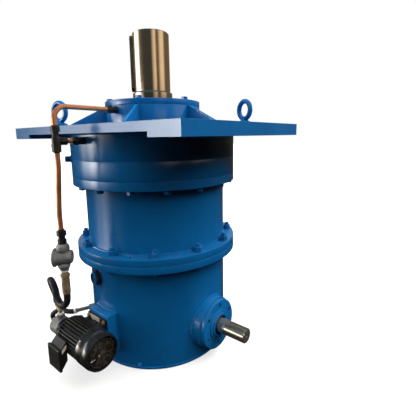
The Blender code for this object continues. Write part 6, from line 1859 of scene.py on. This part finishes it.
class REDUCER_OT_stage(ReducerOperator, Operator):
    """Set the floor, the light and the camera"""

    bl_idname = "reducer.stage"
    bl_label = "Stage"

    def build(self, settings):
        look = settings.stage
        self.floor(look)
        self.sky(look)
        self.screens(look)
        self.camera()
        bpy.context.scene.view_settings.view_transform = "Standard"

    @staticmethod
    def floor(look):
        """A pale floor, lifted towards white where it is seen, that keeps the shadow."""
        made = Finish("pale_floor", 0.8, Specular_IOR_Level=0.1)
        made.set("Base Color", tuple(look.floor))
        made.set("Roughness", made.range(made.noise(2.0, 2.0), 0.3, 0.7, 0.7, 0.85))
        seen = seen_directly(made.node)
        glow = made.node("ShaderNodeEmission", {"Color": (1, 1, 1, 1), "Strength": 1.0})
        share = made.times(seen, 0.60)
        mixed = made.node("ShaderNodeMixShader", {0: share, 1: made.shader.outputs[0], 2: glow.outputs[0]})
        made.tree.links.new(mixed.outputs[0], made.tree.nodes["Material Output"].inputs["Surface"])
        half = 40
        corners = [(-half, -half), (half, -half), (half, half), (-half, half)]
        floor = plain_object(Shape().prism(corners, -0.02, -0.0005).bm, "floor")
        floor.data.materials.append(bpy.data.materials["pale_floor"])
        floor.visible_glossy = False
        floor.visible_diffuse = False

    @staticmethod
    def sky(look):
        """Soft light from above and from a large panel on the left, in front of plain white."""
        world = bpy.data.worlds.new("pale_studio")
        bpy.context.scene.world = world
        world.use_nodes = True
        tree = world.node_tree
        tree.nodes.clear()
        sky = Nodes(tree)
        direction = sky.node("ShaderNodeTexCoord").outputs["Generated"]
        height = sky.node("ShaderNodeSeparateXYZ", {0: direction}).outputs[2]
        azimuth = sky.node("ShaderNodeTexGradient", {0: direction}, gradient_type="RADIAL").outputs["Fac"]
        above = sky.ramp(sky.shifted(height), grey_stops(by_height, SKY_LEVELS))
        panel = sky.ramp(azimuth, grey_stops(by_azimuth, PANEL_AZIMUTHS))
        band = sky.ramp(sky.shifted(height), grey_stops(by_height, PANEL_HEIGHTS))
        panel = sky.mix_colours("MULTIPLY", panel, band)
        panel_light = tuple(look.side * channel for channel in PANEL_TINT)
        panel = sky.mix_colours("MULTIPLY", panel, panel_light)
        round_about = sky.ramp(azimuth, grey_stops(by_azimuth, SKY_AZIMUTHS))
        above = sky.mix_colours("MULTIPLY", above, round_about)
        sky_light = tuple(look.sky * channel for channel in SKY_TINT)
        above = sky.mix_colours("MULTIPLY", above, sky_light)
        light = sky.mix_colours("ADD", above, panel)
        soft = sky.node("ShaderNodeBackground", {"Color": light, "Strength": 1.0})
        white = sky.node("ShaderNodeBackground", {"Color": (1, 1, 1, 1), "Strength": 1.0})
        seen = seen_directly(sky.node)
        choose = sky.node("ShaderNodeMixShader", {0: seen, 1: soft.outputs[0], 2: white.outputs[0]})
        out = sky.node("ShaderNodeOutputWorld")
        tree.links.new(choose.outputs[0], out.inputs["Surface"])

    @staticmethod
    def screens(look):
        """Dark screens with bright openings all round, which only reflections see."""
        material = bpy.data.materials.new("studio_screens")
        material.use_nodes = True
        tree = material.node_tree
        tree.nodes.clear()
        screen = Nodes(tree)
        place = screen.node("ShaderNodeTexCoord").outputs["Object"]
        height = screen.node("ShaderNodeSeparateXYZ", {0: place}).outputs[2]
        azimuth = screen.node("ShaderNodeTexGradient", {0: place}, gradient_type="RADIAL").outputs["Fac"]
        high = screen.ramp(azimuth, screen_stops(ROUND_SHAFT))
        turn = screen.range(height, *SLANT_HEIGHTS, 0.0, SLANT)
        turned = screen.node("ShaderNodeMath", {0: azimuth, 1: turn}, operation="ADD").outputs[0]
        low = screen.ramp(turned, screen_stops(ROUND_HOUSING))
        low = screen.mix_colours("MULTIPLY", low, screen.range(height, *LIFT_HEIGHTS, 1.0, LIFT))
        walls = screen.mix_colours("MIX", low, high, screen.range(height, *SHAFT_HEIGHTS))
        walls = screen.mix_colours("MIX", BLACK_CLOTH, walls, screen.range(height, *FLOOR_HEIGHTS))
        shade = screen.mix_colours("MIX", walls, ROOF_CLOTH, screen.range(height, *ROOF_HEIGHTS))
        glow = screen.node("ShaderNodeEmission", {"Color": shade, "Strength": look.screens * SCREEN_SCALE})
        out = screen.node("ShaderNodeOutputMaterial")
        tree.links.new(glow.outputs[0], out.inputs["Surface"])
        profile = [(0, 30), (29, 26), (30, 20), (30, -15), (29, -16), (0, -17)]
        wall = plain_object(Shape().lathe(profile, 96).bm, "studio_screen_bowl")
        wall.data.materials.append(material)
        for ray in ("camera", "diffuse", "transmission", "volume_scatter", "shadow"):
            setattr(wall, "visible_" + ray, False)

    @staticmethod
    def camera():
        camera = bpy.data.cameras.new("camera")
        camera.sensor_width = 36
        camera.lens = CAMERA_LENS
        camera.shift_x, camera.shift_y = CAMERA_SHIFT
        obj = bpy.data.objects.new("camera", camera)
        axes = (Vector(CAMERA_RIGHT), -Vector(CAMERA_DOWN), -Vector(CAMERA_FORWARD))
        turn = Matrix(axes).transposed().to_4x4()
        obj.matrix_world = Matrix.Translation(CAMERA_AT) @ turn
        bpy.context.scene.collection.objects.link(obj)
        bpy.context.scene.camera = obj


class REDUCER_PT_panel(Panel):
    """The reducer's pieces and settings in the sidebar"""

    bl_label = "Cycloidal reducer"
    bl_idname = "REDUCER_PT_panel"
    bl_space_type = "VIEW_3D"
    bl_region_type = "UI"
    bl_category = "Reducer"

    def draw(self, context):
        for operator in OPERATORS:
            self.layout.operator(operator.bl_idname)
        settings = context.scene.reducer
        for group in ("housing", "shafts", "fasteners", "motor", "lines", "finishes", "stage"):
            box = self.layout.box()
            values = getattr(settings, group)
            for name in values.__annotations__:
                box.prop(values, name)


GROUPS = (
    ReducerHousing,
    ReducerShafts,
    ReducerFasteners,
    ReducerMotor,
    ReducerLines,
    ReducerFinishes,
    ReducerStage,
    ReducerSettings,
)
OPERATORS = (
    REDUCER_OT_finishes,
    REDUCER_OT_base_cover,
    REDUCER_OT_lower_column,
    REDUCER_OT_upper_column,
    REDUCER_OT_ring_housing,
    REDUCER_OT_plate_housing,
    REDUCER_OT_welds,
    REDUCER_OT_fasteners,
    REDUCER_OT_shaft_lid,
    REDUCER_OT_output_shaft,
    REDUCER_OT_input,
    REDUCER_OT_eye_bolts,
    REDUCER_OT_motor,
    REDUCER_OT_pump,
    REDUCER_OT_oil_lines,
    REDUCER_OT_flow_indicator,
    REDUCER_OT_hoses,
    REDUCER_OT_plugs,
    REDUCER_OT_stage,
)


def register():
    for each in (*GROUPS, *OPERATORS, REDUCER_PT_panel):
        bpy.utils.register_class(each)
    bpy.types.Scene.reducer = PointerProperty(type=ReducerSettings)


def unregister():
    del bpy.types.Scene.reducer
    for each in reversed((*GROUPS, *OPERATORS, REDUCER_PT_panel)):
        bpy.utils.unregister_class(each)


def main():
    for name in ("Cube", "Light", "Camera"):
        if name in bpy.data.objects:
            bpy.data.objects.remove(bpy.data.objects[name], do_unlink=True)
    register()
    for operator in OPERATORS:
        group, name = operator.bl_idname.split(".")
        getattr(getattr(bpy.ops, group), name)()


if __name__ == "__main__":
    main()
